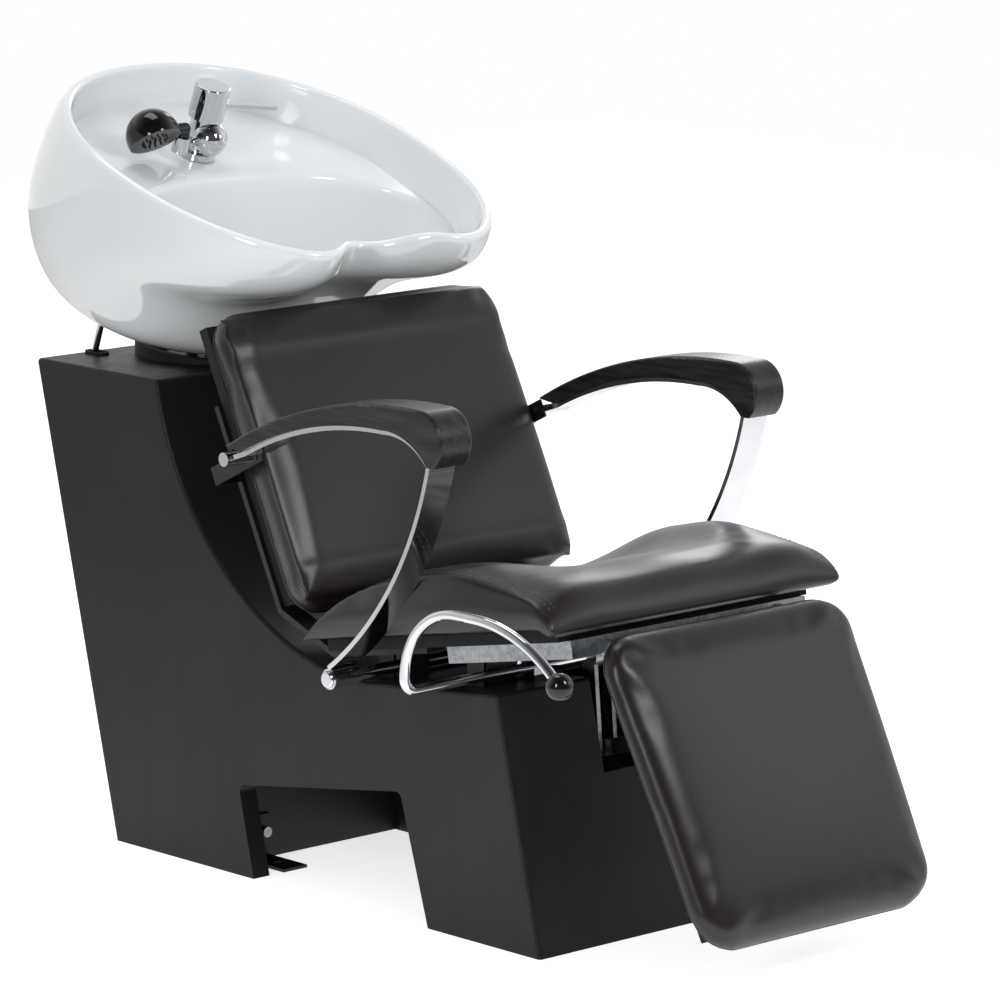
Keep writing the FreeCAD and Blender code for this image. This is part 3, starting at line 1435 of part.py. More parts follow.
nodes = {
    "base_shell": make_base_shell,
    "toe_space_liner": make_toe_liner,
    "floor_brackets": make_floor_brackets,
    "floor_bracket_bolts": make_bracket_bolts,
    "rod_grommets": make_rod_grommets,
    "basin_collar": make_basin_collar,
    "tilt_pedestal": make_tilt_pedestal,
    "tilt_pedestal_bolts": make_tilt_bolts,
    "tilt_pins": make_tilt_pins,
    "seat_risers": make_seat_risers,
    "seat_bolts": make_seat_bolts,
    "seat_board": make_seat_board,
    "seat_cushion": make_seat_cushion,
    "seat_side_rails": make_seat_side_rails,
    "seat_front_rail": make_seat_front_rail,
    "leg_hinge_pins": make_leg_hinge_pins,
    "back_uprights": make_back_uprights,
    "back_board": make_back_board,
    "back_cushion": make_back_cushion,
    "back_screws": make_back_screws,
    "arm_cross_bar": make_arm_cross_bar,
    "cross_bar_clamps": make_cross_bar_clamps,
    "arm_end_bolts": make_arm_end_bolts,
    "arm_back_brackets": make_arm_back_brackets,
    "arm_bar_left": make_arm_bar,
    "arm_bar_right": lambda: mirrored(make_arm_bar()),
    "arm_cap_left": make_arm_cap,
    "arm_cap_right": lambda: mirrored(make_arm_cap()),
    "shaft_bushes": make_shaft_bushes,
    "lever_rod": make_lever_rod,
    "ball_knob": make_ball_knob,
    "crank_arm": make_crank_arm,
    "crank_pin": lambda: pivot_pin(crank_pivot, cheek_outer_x),
    "drive_link": make_drive_link,
    "leg_bracket": make_leg_bracket,
    "leg_link_pin": lambda: pivot_pin(link_pivot, cheek_outer_x),
    "leg_board": make_leg_board,
    "leg_cushion": make_leg_cushion,
    "leg_screws": make_leg_screws,
    "basin": make_basin,
    "basin_saddle": make_basin_saddle,
    "guide_rods": make_guide_rods,
    "waste_strainer": make_waste_strainer,
    "waste_nut": make_waste_nut,
    "waste_tail": make_waste_tail,
    "tap_flange": make_tap_flange,
    "tap_body": make_tap_body,
    "tap_nut": make_tap_nut,
    "shower_holder": make_shower_holder,
    "tap_cap": make_tap_cap,
    "tap_lever_pin": make_tap_lever_pin,
    "tap_lever": make_tap_lever,
    "hand_shower": make_hand_shower,
    "spray_plate": make_spray_plate,
}

os.makedirs("parts", exist_ok=True)
for name, make in nodes.items():
    shape = make()
    shape.exportStep("parts/" + name + ".step")
    print(name, len(shape.Solids), "solids", round(shape.Volume / 1000.0, 1), "cm3", shape.isValid())
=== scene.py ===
import json
import math
import bpy
from mathutils import Matrix, Vector
from mathutils.bvhtree import BVHTree


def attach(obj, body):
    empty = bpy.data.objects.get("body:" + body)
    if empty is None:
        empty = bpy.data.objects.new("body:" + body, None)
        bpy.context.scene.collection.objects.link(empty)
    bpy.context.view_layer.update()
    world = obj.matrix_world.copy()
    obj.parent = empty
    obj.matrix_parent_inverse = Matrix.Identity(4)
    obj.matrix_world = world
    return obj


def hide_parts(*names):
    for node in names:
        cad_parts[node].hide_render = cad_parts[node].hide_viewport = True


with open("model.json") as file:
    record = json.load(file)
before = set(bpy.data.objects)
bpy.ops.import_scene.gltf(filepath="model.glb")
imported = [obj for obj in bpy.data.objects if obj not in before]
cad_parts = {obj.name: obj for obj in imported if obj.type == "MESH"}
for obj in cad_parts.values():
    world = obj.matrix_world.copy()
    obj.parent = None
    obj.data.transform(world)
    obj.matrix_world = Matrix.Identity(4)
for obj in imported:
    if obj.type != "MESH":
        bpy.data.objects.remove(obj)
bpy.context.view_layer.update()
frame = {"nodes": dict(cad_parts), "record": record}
mm = 0.001


# Working helpers

def selectOnly(*pieces):
    if bpy.context.object and bpy.context.object.mode != "OBJECT":
        bpy.ops.object.mode_set(mode="OBJECT")
    bpy.ops.object.select_all(action="DESELECT")
    for piece in pieces:
        piece.select_set(True)
    bpy.context.view_layer.objects.active = pieces[0]


def named(name):
    # names the object that was just made, and its mesh
    piece = bpy.context.object
    piece.name = name
    piece.data.name = name
    return piece


def editAll(piece, choice="SELECT"):
    # edit mode with the whole mesh selected, or none of it
    selectOnly(piece)
    bpy.ops.object.mode_set(mode="EDIT")
    bpy.ops.mesh.select_all(action=choice)


def pick(piece, kind, test):
    # edit mode with only those edges or faces selected whose corner points pass the test
    editAll(piece, "DESELECT")
    bpy.ops.object.mode_set(mode="OBJECT")
    for part in piece.data.edges if kind == "EDGE" else piece.data.polygons:
        part.select = test([piece.data.vertices[i].co for i in part.vertices])
    bpy.ops.object.mode_set(mode="EDIT")
    bpy.ops.mesh.select_mode(type=kind)


def applyModifier(piece, kind, **settings):
    selectOnly(piece)
    modifier = piece.modifiers.new(kind.lower(), kind)
    for name, value in settings.items():
        setattr(modifier, name, value)
    bpy.ops.object.modifier_apply(modifier=modifier.name)


def spread(piece, name, places):
    # one copy of the piece, with a mesh of its own, at each place; the first piece goes
    copies = []
    for place in places:
        copy = piece.copy()
        copy.data = piece.data.copy()
        copy.data.transform(place)
        bpy.context.collection.objects.link(copy)
        copies.append(copy)
    bpy.data.objects.remove(piece)
    selectOnly(*copies)
    bpy.ops.object.join()
    return named(name)


def standing(point, along, normal):
    # a place whose Z stands on the surface and whose X runs along the given direction
    up = normal.normalized()
    side = up.cross(along).normalized()
    return Matrix.Translation(point) @ Matrix((side.cross(up), side, up)).transposed().to_4x4()


def dress(piece, slot, body, finish=None):
    piece.data.materials.clear()
    piece.data.materials.append(finish or finishes[slot])
    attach(piece, body)


# Leaning frames of the upholstery and the basin: where local zero lies and how far it leans back
leaning = {
    "seat": {"y": 42, "z": 335, "lean": 10.4},
    "back": {"y": 60, "z": 364, "lean": 26.3},
    "leg": {"y": -448, "z": 415, "lean": 27.3},
    "basin": {"y": 367, "z": 894, "lean": -19.9},
}


def leaningMatrix(name):
    place = leaning[name]
    shift = Matrix.Translation((0, place["y"] * mm, place["z"] * mm))
    return shift @ Matrix.Rotation(-math.radians(place["lean"]), 4, "X")


def leanInto(piece, name):
    selectOnly(piece)
    piece.matrix_world = leaningMatrix(name)
    bpy.ops.object.transform_apply(location=True, rotation=True, scale=True)


# Materials: sizes of patterns and depths of bumps are in millimetres

def linear(hexColour):
    parts = [int(hexColour[i:i + 2], 16) / 255 for i in (1, 3, 5)]
    return [c / 12.92 if c <= 0.04045 else ((c + 0.055) / 1.055) ** 2.4 for c in parts] + [1.0]


def perMetre(size):
    return 1 / (size * mm)


def setInputs(tree, node, inputs):
    # an input that is given a socket is linked to it, and any other is set
    for name, value in inputs.items():
        if isinstance(value, bpy.types.NodeSocket):
            tree.links.new(value, node.inputs[name])
        else:
            node.inputs[name].default_value = value


def addNode(tree, kind, inputs=None, out=0, **settings):
    # gives back one output of the new node; a Mix node's sockets share their names, so they go by number
    node = tree.nodes.new("ShaderNode" + kind)
    for name, value in settings.items():
        setattr(node, name, value)
    setInputs(tree, node, inputs or {})
    return node.outputs[out]


def startMaterial(name):
    material = bpy.data.materials.new(name)
    material.use_nodes = True
    tree = material.node_tree
    return material, tree, tree.nodes["Principled BSDF"], addNode(tree, "TexCoord", out="Object")


def layTones(tree, shader, look, tint, sheen=None):
    # the colour runs from dark to light along one pattern, and the roughness along another
    tones = {0: tint, 6: linear(look["dark"]), 7: linear(look["light"])}
    setInputs(tree, shader, {"Base Color": addNode(tree, "Mix", tones, 2, data_type="RGBA")})
    if sheen:
        low, high = look["rough"]
        rough = addNode(tree, "MapRange", {"Value": sheen, "To Min": low, "To Max": high})
        setInputs(tree, shader, {"Roughness": rough})


def upholsteryVinyl():
    # Calendered black PVC over foam: a soft grey sheen, with pebbled grain that breaks up the highlights.
    # Real grain is near 1 mm; it is drawn at 1.8 mm so that it still shows in the picture.
    look = {"dark": "#1c1718", "light": "#251f20", "haze": 70, "rough": (0.28, 0.36),
            "grain": 1.8, "grainBump": 0.18, "grainDepth": 0.25,
            "slack": 24, "slackBump": 0.12, "slackDepth": 1.5}
    material, tree, shader, place = startMaterial("upholsteryVinyl")
    haze = addNode(tree, "TexNoise", {"Vector": place, "Scale": perMetre(look["haze"]), "Detail": 3})
    layTones(tree, shader, look, haze, haze)
    grain = addNode(tree, "TexVoronoi", {"Vector": place, "Scale": perMetre(look["grain"])},
                    feature="SMOOTH_F1")
    pebble = addNode(tree, "Bump", {"Height": grain, "Strength": look["grainBump"],
                                    "Distance": look["grainDepth"] * mm})
    slack = addNode(tree, "TexNoise", {"Vector": place, "Scale": perMetre(look["slack"]), "Detail": 2})
    cover = addNode(tree, "Bump", {"Height": slack, "Strength": look["slackBump"],
                                   "Distance": look["slackDepth"] * mm, "Normal": pebble})
    setInputs(tree, shader, {"Normal": cover, "IOR": 1.5, "Specular IOR Level": 0.45})
    return material


def mouldedLaminate():
    # Glass-fibre laminate with black gelcoat, rubbed down: satin, slightly wavy, hazed by handling.
    look = {"dark": "#191617", "light": "#2a2728", "cloud": 140, "rough": (0.34, 0.52),
            "streak": 18, "streakRun": (1.0, 1.0, 0.12),
            "wave": 45, "waveBump": 0.10, "waveDepth": 1.2, "peel": 3, "peelBump": 0.05, "peelDepth": 0.2}
    material, tree, shader, place = startMaterial("blackGelcoatLaminate")
    cloud = addNode(tree, "TexNoise", {"Vector": place, "Scale": perMetre(look["cloud"]), "Detail": 5})
    upright = addNode(tree, "Mapping", {"Vector": place, "Scale": look["streakRun"]})
    streak = addNode(tree, "TexNoise", {"Vector": upright, "Scale": perMetre(look["streak"]), "Detail": 4})
    layTones(tree, shader, look, cloud, streak)
    wave = addNode(tree, "TexNoise", {"Vector": place, "Scale": perMetre(look["wave"]), "Detail": 1})
    wavy = addNode(tree, "Bump", {"Height": wave, "Strength": look["waveBump"],
                                  "Distance": look["waveDepth"] * mm})
    peel = addNode(tree, "TexNoise", {"Vector": place, "Scale": perMetre(look["peel"]), "Detail": 2})
    skin = addNode(tree, "Bump", {"Height": peel, "Strength": look["peelBump"],
                                  "Distance": look["peelDepth"] * mm, "Normal": wavy})
    setInputs(tree, shader, {"Normal": skin, "IOR": 1.52, "Specular IOR Level": 0.22})
    return material


def stainedAsh():
    # Bent ash laminate, stained black under satin lacquer: open pores run along the arm.
    look = {"dark": "#0f1010", "light": "#2e2f2d", "rough": (0.28, 0.5), "contrast": (0.14, 0.36),
            "pore": 2.6, "poreRun": (1.0, 0.05, 1.0), "poreBump": 0.25, "poreDepth": 0.4,
            "ring": 11, "ringRun": (1.0, 0.12, 1.0)}
    material, tree, shader, place = startMaterial("blackStainedAsh")
    along = addNode(tree, "Mapping", {"Vector": place, "Scale": look["poreRun"]})
    pores = addNode(tree, "TexNoise", {"Vector": along, "Scale": perMetre(look["pore"]), "Detail": 5})
    drawn = addNode(tree, "Mapping", {"Vector": place, "Scale": look["ringRun"]})
    rings = addNode(tree, "TexNoise", {"Vector": drawn, "Scale": perMetre(look["ring"]), "Detail": 3})
    both = addNode(tree, "Math", {0: pores, 1: rings}, operation="MULTIPLY")
    low, high = look["contrast"]
    figure = addNode(tree, "MapRange", {"Value": both, "From Min": low, "From Max": high})
    layTones(tree, shader, look, figure, pores)
    openPores = addNode(tree, "Bump", {"Height": pores, "Strength": look["poreBump"],
                                       "Distance": look["poreDepth"] * mm})
    setInputs(tree, shader, {"Normal": openPores, "IOR": 1.5, "Specular IOR Level": 0.3,
                             "Coat Weight": 0.2, "Coat Roughness": 0.16})
    return material


def polishedChrome():
    # Bright chrome plate on buffed steel: a mirror with a trace of polishing haze.
    look = {"dark": "#c9cacd", "light": "#dcdde0", "haze": 35, "rough": (0.04, 0.10)}
    material, tree, shader, place = startMaterial("polishedChrome")
    haze = addNode(tree, "TexNoise", {"Vector": place, "Scale": perMetre(look["haze"]), "Detail": 3})
    layTones(tree, shader, look, haze, haze)
    setInputs(tree, shader, {"Metallic": 1.0})
    return material


def zincPlate():
    # Zinc-plated mild steel: grey, softly mirrored, with small spangles and rub marks.
    look = {"dark": "#8c8f93", "light": "#b2b5b8", "spangle": 5, "rub": 9, "rough": (0.22, 0.42),
            "pit": 1.4, "pitBump": 0.06, "pitDepth": 0.2}
    material, tree, shader, place = startMaterial("brightZincPlate")
    spangle = addNode(tree, "TexVoronoi", {"Vector": place, "Scale": perMetre(look["spangle"])}, "Color")
    rub = addNode(tree, "TexNoise", {"Vector": place, "Scale": perMetre(look["rub"]), "Detail": 3})
    layTones(tree, shader, look, spangle, rub)
    pit = addNode(tree, "TexNoise", {"Vector": place, "Scale": perMetre(look["pit"]), "Detail": 3})
    pitted = addNode(tree, "Bump", {"Height": pit, "Strength": look["pitBump"],
                                    "Distance": look["pitDepth"] * mm})
    setInputs(tree, shader, {"Normal": pitted, "Metallic": 1.0})
    return material


def powderCoat():
    # Black polyester powder coat on steel: fine orange peel, mostly matt.
    look = {"dark": "#0d0c0c", "light": "#161415", "cloud": 40, "rub": 12, "rough": (0.42, 0.58),
            "peel": 1.6, "peelBump": 0.16, "peelDepth": 0.3}
    material, tree, shader, place = startMaterial("blackPowderCoat")
    cloud = addNode(tree, "TexNoise", {"Vector": place, "Scale": perMetre(look["cloud"]), "Detail": 3})
    rub = addNode(tree, "TexNoise", {"Vector": place, "Scale": perMetre(look["rub"]), "Detail": 3})
    layTones(tree, shader, look, cloud, rub)
    peel = addNode(tree, "TexNoise", {"Vector": place, "Scale": perMetre(look["peel"]), "Detail": 2})
    skin = addNode(tree, "Bump", {"Height": peel, "Strength": look["peelBump"],
                                  "Distance": look["peelDepth"] * mm})
    setInputs(tree, shader, {"Normal": skin, "IOR": 1.5})
    return material


def glazedChina():
    # Slip-cast vitreous china under clear glaze: cool white, mirror-smooth, with a casting's slow waves.
    look = {"dark": "#ebeff2", "light": "#f1f4f6", "cloud": 160, "wave": 55, "waveBump": 0.06, "waveDepth": 2}
    material, tree, shader, place = startMaterial("glazedVitreousChina")
    cloud = addNode(tree, "TexNoise", {"Vector": place, "Scale": perMetre(look["cloud"]), "Detail": 3})
    layTones(tree, shader, look, cloud)
    wave = addNode(tree, "TexNoise", {"Vector": place, "Scale": perMetre(look["wave"]), "Detail": 1})
    wavy = addNode(tree, "Bump", {"Height": wave, "Strength": look["waveBump"],
                                  "Distance": look["waveDepth"] * mm})
    setInputs(tree, shader, {"Normal": wavy, "IOR": 1.52, "Roughness": 0.07,
                             "Coat Weight": 0.6, "Coat Roughness": 0.03})
    return material


def mouldedRubber():
    # Moulded EPDM: matt, a little dusty.
    look = {"dark": "#121112", "light": "#1c1b1b", "dust": 15, "rub": 6, "rough": (0.6, 0.8),
            "pore": 1.5, "poreBump": 0.12, "poreDepth": 0.2}
    material, tree, shader, place = startMaterial("mouldedRubber")
    dust = addNode(tree, "TexNoise", {"Vector": place, "Scale": perMetre(look["dust"]), "Detail": 3})
    rub = addNode(tree, "TexNoise", {"Vector": place, "Scale": perMetre(look["rub"]), "Detail": 3})
    layTones(tree, shader, look, dust, rub)
    pore = addNode(tree, "TexNoise", {"Vector": place, "Scale": perMetre(look["pore"]), "Detail": 3})
    skin = addNode(tree, "Bump", {"Height": pore, "Strength": look["poreBump"],
                                  "Distance": look["poreDepth"] * mm})
    setInputs(tree, shader, {"Normal": skin, "IOR": 1.5})
    return material


def liningCloth():
    # Black lining cloth stapled over plywood: plain weave, drawn at 2.4 mm so that it shows.
    # At scale 1 the Wave node repeats every 0.314 m.
    look = {"dark": "#0a0909", "light": "#151314", "thread": 2.4, "waveRepeat": 0.314,
            "rub": 20, "rough": (0.78, 0.92), "weaveBump": 0.3, "weaveDepth": 0.3}
    material, tree, shader, place = startMaterial("blackLiningCloth")
    threads = {"Vector": place, "Scale": look["waveRepeat"] / (look["thread"] * mm)}
    weft = addNode(tree, "TexWave", threads, "Fac", bands_direction="X")
    warp = addNode(tree, "TexWave", threads, "Fac", bands_direction="Z")
    weave = addNode(tree, "Math", {0: weft, 1: warp}, operation="MULTIPLY")
    rub = addNode(tree, "TexNoise", {"Vector": place, "Scale": perMetre(look["rub"]), "Detail": 3})
    layTones(tree, shader, look, weave, rub)
    woven = addNode(tree, "Bump", {"Height": weave, "Strength": look["weaveBump"],
                                   "Distance": look["weaveDepth"] * mm})
    setInputs(tree, shader, {"Normal": woven, "IOR": 1.4, "Sheen Weight": 0.2})
    return material


def polishedMoulding():
    # Polished black phenolic and ABS mouldings: deep black with sharp highlights.
    look = {"dark": "#0b0a0b", "light": "#121112", "cloud": 30, "haze": 14, "rough": (0.07, 0.14)}
    material, tree, shader, place = startMaterial("polishedBlackMoulding")
    cloud = addNode(tree, "TexNoise", {"Vector": place, "Scale": perMetre(look["cloud"]), "Detail": 3})
    haze = addNode(tree, "TexNoise", {"Vector": place, "Scale": perMetre(look["haze"]), "Detail": 3})
    layTones(tree, shader, look, cloud, haze)
    setInputs(tree, shader, {"IOR": 1.53})
    return material


def waxedThread():
    # Bonded nylon sewing thread, charcoal and slightly waxed: twisted strands catch the light.
    look = {"dark": "#2c2a2a", "light": "#5a5654", "strand": 0.9, "rough": (0.35, 0.55),
            "strandBump": 0.2, "strandDepth": 0.15}
    material, tree, shader, place = startMaterial("bondedNylonThread")
    strand = addNode(tree, "TexNoise", {"Vector": place, "Scale": perMetre(look["strand"]), "Detail": 2})
    layTones(tree, shader, look, strand, strand)
    twist = addNode(tree, "Bump", {"Height": strand, "Strength": look["strandBump"],
                                   "Distance": look["strandDepth"] * mm})
    setInputs(tree, shader, {"Normal": twist, "IOR": 1.5, "Sheen Weight": 0.3})
    return material


finishes = {
    "black_vinyl": upholsteryVinyl(),
    "black_grp": mouldedLaminate(),
    "stained_wood": stainedAsh(),
    "chrome": polishedChrome(),
    "zinc_steel": zincPlate(),
    "black_steel": powderCoat(),
    "white_ceramic": glazedChina(),
    "black_rubber": mouldedRubber(),
    "plywood": liningCloth(),
    "black_plastic": polishedMoulding(),
}
for part in frame["record"]["subparts"]:
    for holder in frame["nodes"][part["node"]].material_slots:
        holder.material = finishes[part["material_slot"]]
print("materials on", len(frame["nodes"]), "nodes")


# Upholstery

coverLook = {"steps": 20, "quality": 3, "mass": 0.3, "stretch": 40, "bending": 10, "smoothing": 0.5}


def remeshed(piece, voxel):
    selectOnly(piece)
    piece.data.remesh_voxel_size = voxel * mm
    bpy.ops.object.voxel_remesh()
    bpy.ops.object.shade_smooth()


def inflate(pad, look, resting):
    # Air pressure rounds the cover out; what rests on the board is held, and no point moves past the cap.
    start = [v.co.copy() for v in pad.data.vertices]
    held = pad.vertex_groups.new(name="held")
    held.add([v.index for v in pad.data.vertices if resting(v.co)], 1.0, "REPLACE")
    cloth = pad.modifiers.new("swell", "CLOTH")
    cloth.settings.quality = coverLook["quality"]
    cloth.settings.mass = coverLook["mass"]
    cloth.settings.tension_stiffness = coverLook["stretch"]
    cloth.settings.compression_stiffness = coverLook["stretch"]
    cloth.settings.bending_stiffness = coverLook["bending"]
    cloth.settings.use_pressure = True
    cloth.settings.uniform_pressure_force = look["pressure"]
    cloth.settings.effector_weights.gravity = 0
    cloth.settings.vertex_group_mass = "held"
    cloth.point_cache.frame_start = 1
    cloth.point_cache.frame_end = coverLook["steps"]
    for step in range(1, coverLook["steps"] + 1):
        bpy.context.scene.frame_set(step)
    shaped = pad.evaluated_get(bpy.context.evaluated_depsgraph_get()).to_mesh()
    for vertex, was, now in zip(pad.data.vertices, start, [v.co.copy() for v in shaped.vertices]):
        move = now - was
        vertex.co = was + move * min(1.0, look["cap"] * mm / max(move.length, 1e-9))
    pad.modifiers.remove(cloth)
    pad.vertex_groups.clear()
    bpy.context.scene.frame_set(1)


def finishPad(pad, look):
    applyModifier(pad, "SMOOTH", factor=coverLook["smoothing"], iterations=look["smooth"])
    applyModifier(pad, "SUBSURF", levels=1, render_levels=1)
    bpy.ops.object.shade_smooth()


def settlePad(pad, node, place, body):
    # moves the finished pad to its place, where it stands for the plain solid
    leanInto(pad, place)
    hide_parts(node)
    dress(pad, "black_vinyl", body)
    print(pad.name, len(pad.data.vertices), "points")


def cutLine(pad, name, point, normal, weld=1.5):
    # the line where a plane meets the pad, as a curve whose points follow each other
    selectOnly(pad)
    bpy.ops.object.duplicate()
    line = named(name)
    editAll(line)
    bpy.ops.mesh.bisect(plane_co=point, plane_no=normal, clear_inner=True, clear_outer=True)
    bpy.ops.mesh.select_all(action="SELECT")
    bpy.ops.mesh.remove_doubles(threshold=weld * mm)
    bpy.ops.object.mode_set(mode="OBJECT")
    bpy.ops.object.convert(target="CURVE")
    return line


def roundedSlab(name, look):
    # A block with its four corners rounded, its face rolled over and its rear left nearly square.
    bpy.ops.object.select_all(action="DESELECT")
    deep = (look["rear"] - look["front"]) * mm
    middleY = (look["rear"] + look["front"]) / 2 * mm
    middleZ = (look["bottom"] + look["height"] / 2) * mm
    bpy.ops.mesh.primitive_cube_add(size=1)
    slab = named(name)
    slab.scale = ((look["halfBottom"] + look["halfTop"]) * mm, deep, look["height"] * mm)
    slab.location = (0, middleY, middleZ)
    bpy.ops.object.transform_apply(location=True, rotation=True, scale=True)
    for corner in slab.data.vertices:
        half = look["halfTop"] if corner.co.z > middleZ else look["halfBottom"]
        if corner.co.y > middleY:
            half -= look["taper"]
        corner.co.x = math.copysign(half * mm, corner.co.x)
    pick(slab, "EDGE", lambda ends: abs(ends[0].y - ends[1].y) > deep / 2)
    bpy.ops.mesh.bevel(offset=look["corner"] * mm, segments=10, profile=0.5, affect="EDGES")
    for face, roll, segments in (("front", "roll", 8), ("rear", "rearRoll", 3)):
        level = look[face] * mm
        pick(slab, "EDGE", lambda ends: all(abs(p.y - level) < mm for p in ends))
        bpy.ops.mesh.bevel(offset=look[roll] * mm, segments=segments, profile=0.5, affect="EDGES")
    bpy.ops.object.mode_set(mode="OBJECT")
    return slab


def crowned(pad, look):
    # the face swells towards its middle, most at the front and not at all at the rear
    half = (look["halfBottom"] + look["halfTop"]) / 2 * mm
    middle = (look["bottom"] + look["height"] / 2) * mm
    for vertex in pad.data.vertices:
        across = max(0.0, 1 - (vertex.co.x / half) ** 2)
        along = max(0.0, 1 - ((vertex.co.z - middle) / (look["height"] / 2 * mm)) ** 2)
        ahead = (look["rear"] * mm - vertex.co.y) / ((look["rear"] - look["front"]) * mm)
        vertex.co.y -= look["crown"] * mm * (across * along) ** look["crownPower"] * max(0.0, ahead)


def addWelt(pad, look, place, body):
    # a cord in a vinyl sleeve, sewn in where the front cover meets the rear cover
    welt = cutLine(pad, pad.name + "Welt", (0, look["weltAt"] * mm, 0), (0, 1, 0))
    welt.data.bevel_depth = look["welt"] * mm
    welt.data.bevel_resolution = 3
    selectOnly(welt)
    bpy.ops.object.convert(target="MESH")
    bpy.ops.object.shade_smooth()
    leanInto(welt, place)
    dress(welt, "black_vinyl", body)


def uprightPad(name, look, node, place, body):
    pad = roundedSlab(name, look)
    remeshed(pad, look["voxel"])
    crowned(pad, look)
    inflate(pad, look, lambda p: p.y > look["restFrom"] * mm)
    finishPad(pad, look)
    addWelt(pad, look, place, body)
    settlePad(pad, node, place, body)
    return pad


backLook = {"halfBottom": 245, "halfTop": 240, "taper": 37, "height": 402, "bottom": 2, "front": -25,
            "rear": 45.5, "corner": 38, "roll": 28, "rearRoll": 5, "crown": 9, "crownPower": 0.6,
            "voxel": 6, "pressure": 4, "cap": 3, "restFrom": 41, "smooth": 10, "fill": 0.75,
            "weltAt": 20, "welt": 2}
backPad = uprightPad("backPad", backLook, "back_cushion", "back", "base")

legLook = {"halfBottom": 203, "halfTop": 214, "taper": 8, "height": 401, "bottom": -403, "front": -15,
           "rear": 11.5, "corner": 52, "roll": 22, "rearRoll": 4, "crown": 11, "crownPower": 0.6,
           "voxel": 6, "pressure": 4, "cap": 3, "restFrom": 8, "smooth": 10, "fill": 0.8,
           "weltAt": 9, "welt": 1.6}
uprightPad("legPad", legLook, "leg_cushion", "leg", "legrest")

stitchLook = {"long": 4.4, "thick": 1.1, "rounding": 0.3, "arch": 0.25, "dip": 0.5, "pitch": 6.4,
              "rows": (233, 226), "from": 30, "to": 455, "facingUp": 0.35}


def makeStitch():
    look = stitchLook
    bpy.ops.object.select_all(action="DESELECT")
    half = look["long"] / 2 * mm
    bpy.ops.mesh.primitive_cylinder_add(vertices=8, radius=look["thick"] / 2 * mm, depth=2 * half,
                                        rotation=(0, math.pi / 2, 0))
    stitch = named("stitch")
    bpy.ops.object.transform_apply(location=True, rotation=True, scale=True)
    pick(stitch, "EDGE", lambda ends: abs(ends[0].x - ends[1].x) < half)
    bpy.ops.mesh.bevel(offset=look["thick"] * look["rounding"] * mm, segments=2, profile=0.5, affect="EDGES")
    bpy.ops.object.mode_set(mode="OBJECT")
    for vertex in stitch.data.vertices:
        vertex.co.z += (look["arch"] - look["dip"] * (vertex.co.x / half) ** 2) * look["thick"] * mm
    bpy.ops.object.shade_smooth()
    return stitch


def seamPoints(pad, surface, across):
    # points along the pad's upper side at this distance from the middle, from the rear to the front
    line = cutLine(pad, "sewnLine", (across * mm, 0, 0), (1, 0, 0))
    points = [Vector(p.co[:3]) for spline in line.data.splines for p in spline.points]
    bpy.data.objects.remove(line)
    upper = [p for p in points if surface.find_nearest(p)[1].z > stitchLook["facingUp"]]
    return sorted(upper, key=lambda p: -p.y)


def sewRows(pad):
    surface = BVHTree.FromObject(pad, bpy.context.evaluated_depsgraph_get())
    places = []
    for across in [side * row for row in stitchLook["rows"] for side in (-1, 1)]:
        seam = seamPoints(pad, surface, across)
        walked = 0.0
        for here, after in zip(seam, seam[1:]):
            walked += (after - here).length
            sewn = stitchLook["from"] < -here.y / mm < stitchLook["to"]
            if sewn and walked >= stitchLook["pitch"] * mm:
                walked = 0.0
                places.append(standing(here, after - here, surface.find_nearest(here)[1]))
    thread = spread(makeStitch(), "seatStitches", places)
    leanInto(thread, "seat")
    dress(thread, "black_vinyl", "base", waxedThread())
    print("seatStitches", len(places))


seatLook = {"voxel": 6, "weld": 0.02, "shrink": 3, "side": 225, "sideSoft": 12, "bulge": 7, "tall": 60,
            "drapeFrom": 443, "drapeSoft": 8, "drapeBy": 14, "drapeTop": 45,
            "pressure": 4, "cap": 2, "restBelow": 6, "smooth": 12, "fill": 0.8}


def filledOut(pad):
    # the side panels swell outwards, and the nose rolls down in front of the board
    look = seatLook
    for vertex in pad.data.vertices:
        x, y, z = vertex.co / mm
        outer = min(1.0, max(0.0, (abs(x) - look["side"]) / look["sideSoft"]))
        height = min(1.0, max(0.0, z / look["tall"]))
        vertex.co.x += math.copysign(look["bulge"] * outer * 4 * height * (1 - height), x) * mm
        ahead = min(1.0, max(0.0, (-y - look["drapeFrom"]) / look["drapeSoft"]))
        vertex.co.z -= look["drapeBy"] * ahead * max(0.0, 1 - z / look["drapeTop"]) * mm


def makeSeatPad():
    # the seat starts from a copy of its plain solid, with the marks of the frame taken off
    look = seatLook
    selectOnly(frame["nodes"]["seat_cushion"])
    bpy.ops.object.duplicate()
    pad = named("seatPad")
    for key in list(pad.keys()):
        del pad[key]
    pad.parent = None
    editAll(pad)
    bpy.ops.mesh.remove_doubles(threshold=look["weld"] * mm)
    bpy.ops.object.mode_set(mode="OBJECT")
    pad.data.transform(leaningMatrix("seat").inverted())
    remeshed(pad, look["voxel"])
    editAll(pad)
    bpy.ops.transform.shrink_fatten(value=-look["shrink"] * mm)
    bpy.ops.object.mode_set(mode="OBJECT")
    filledOut(pad)
    inflate(pad, look, lambda p: p.z < look["restBelow"] * mm)
    finishPad(pad, look)
    sewRows(pad)
    settlePad(pad, "seat_cushion", "seat", "base")


makeSeatPad()

tackLook = {"radius": 3.2, "flat": 0.55, "at": (31, 143, 181, 300), "back": 35, "reach": 400, "sharp": 40}


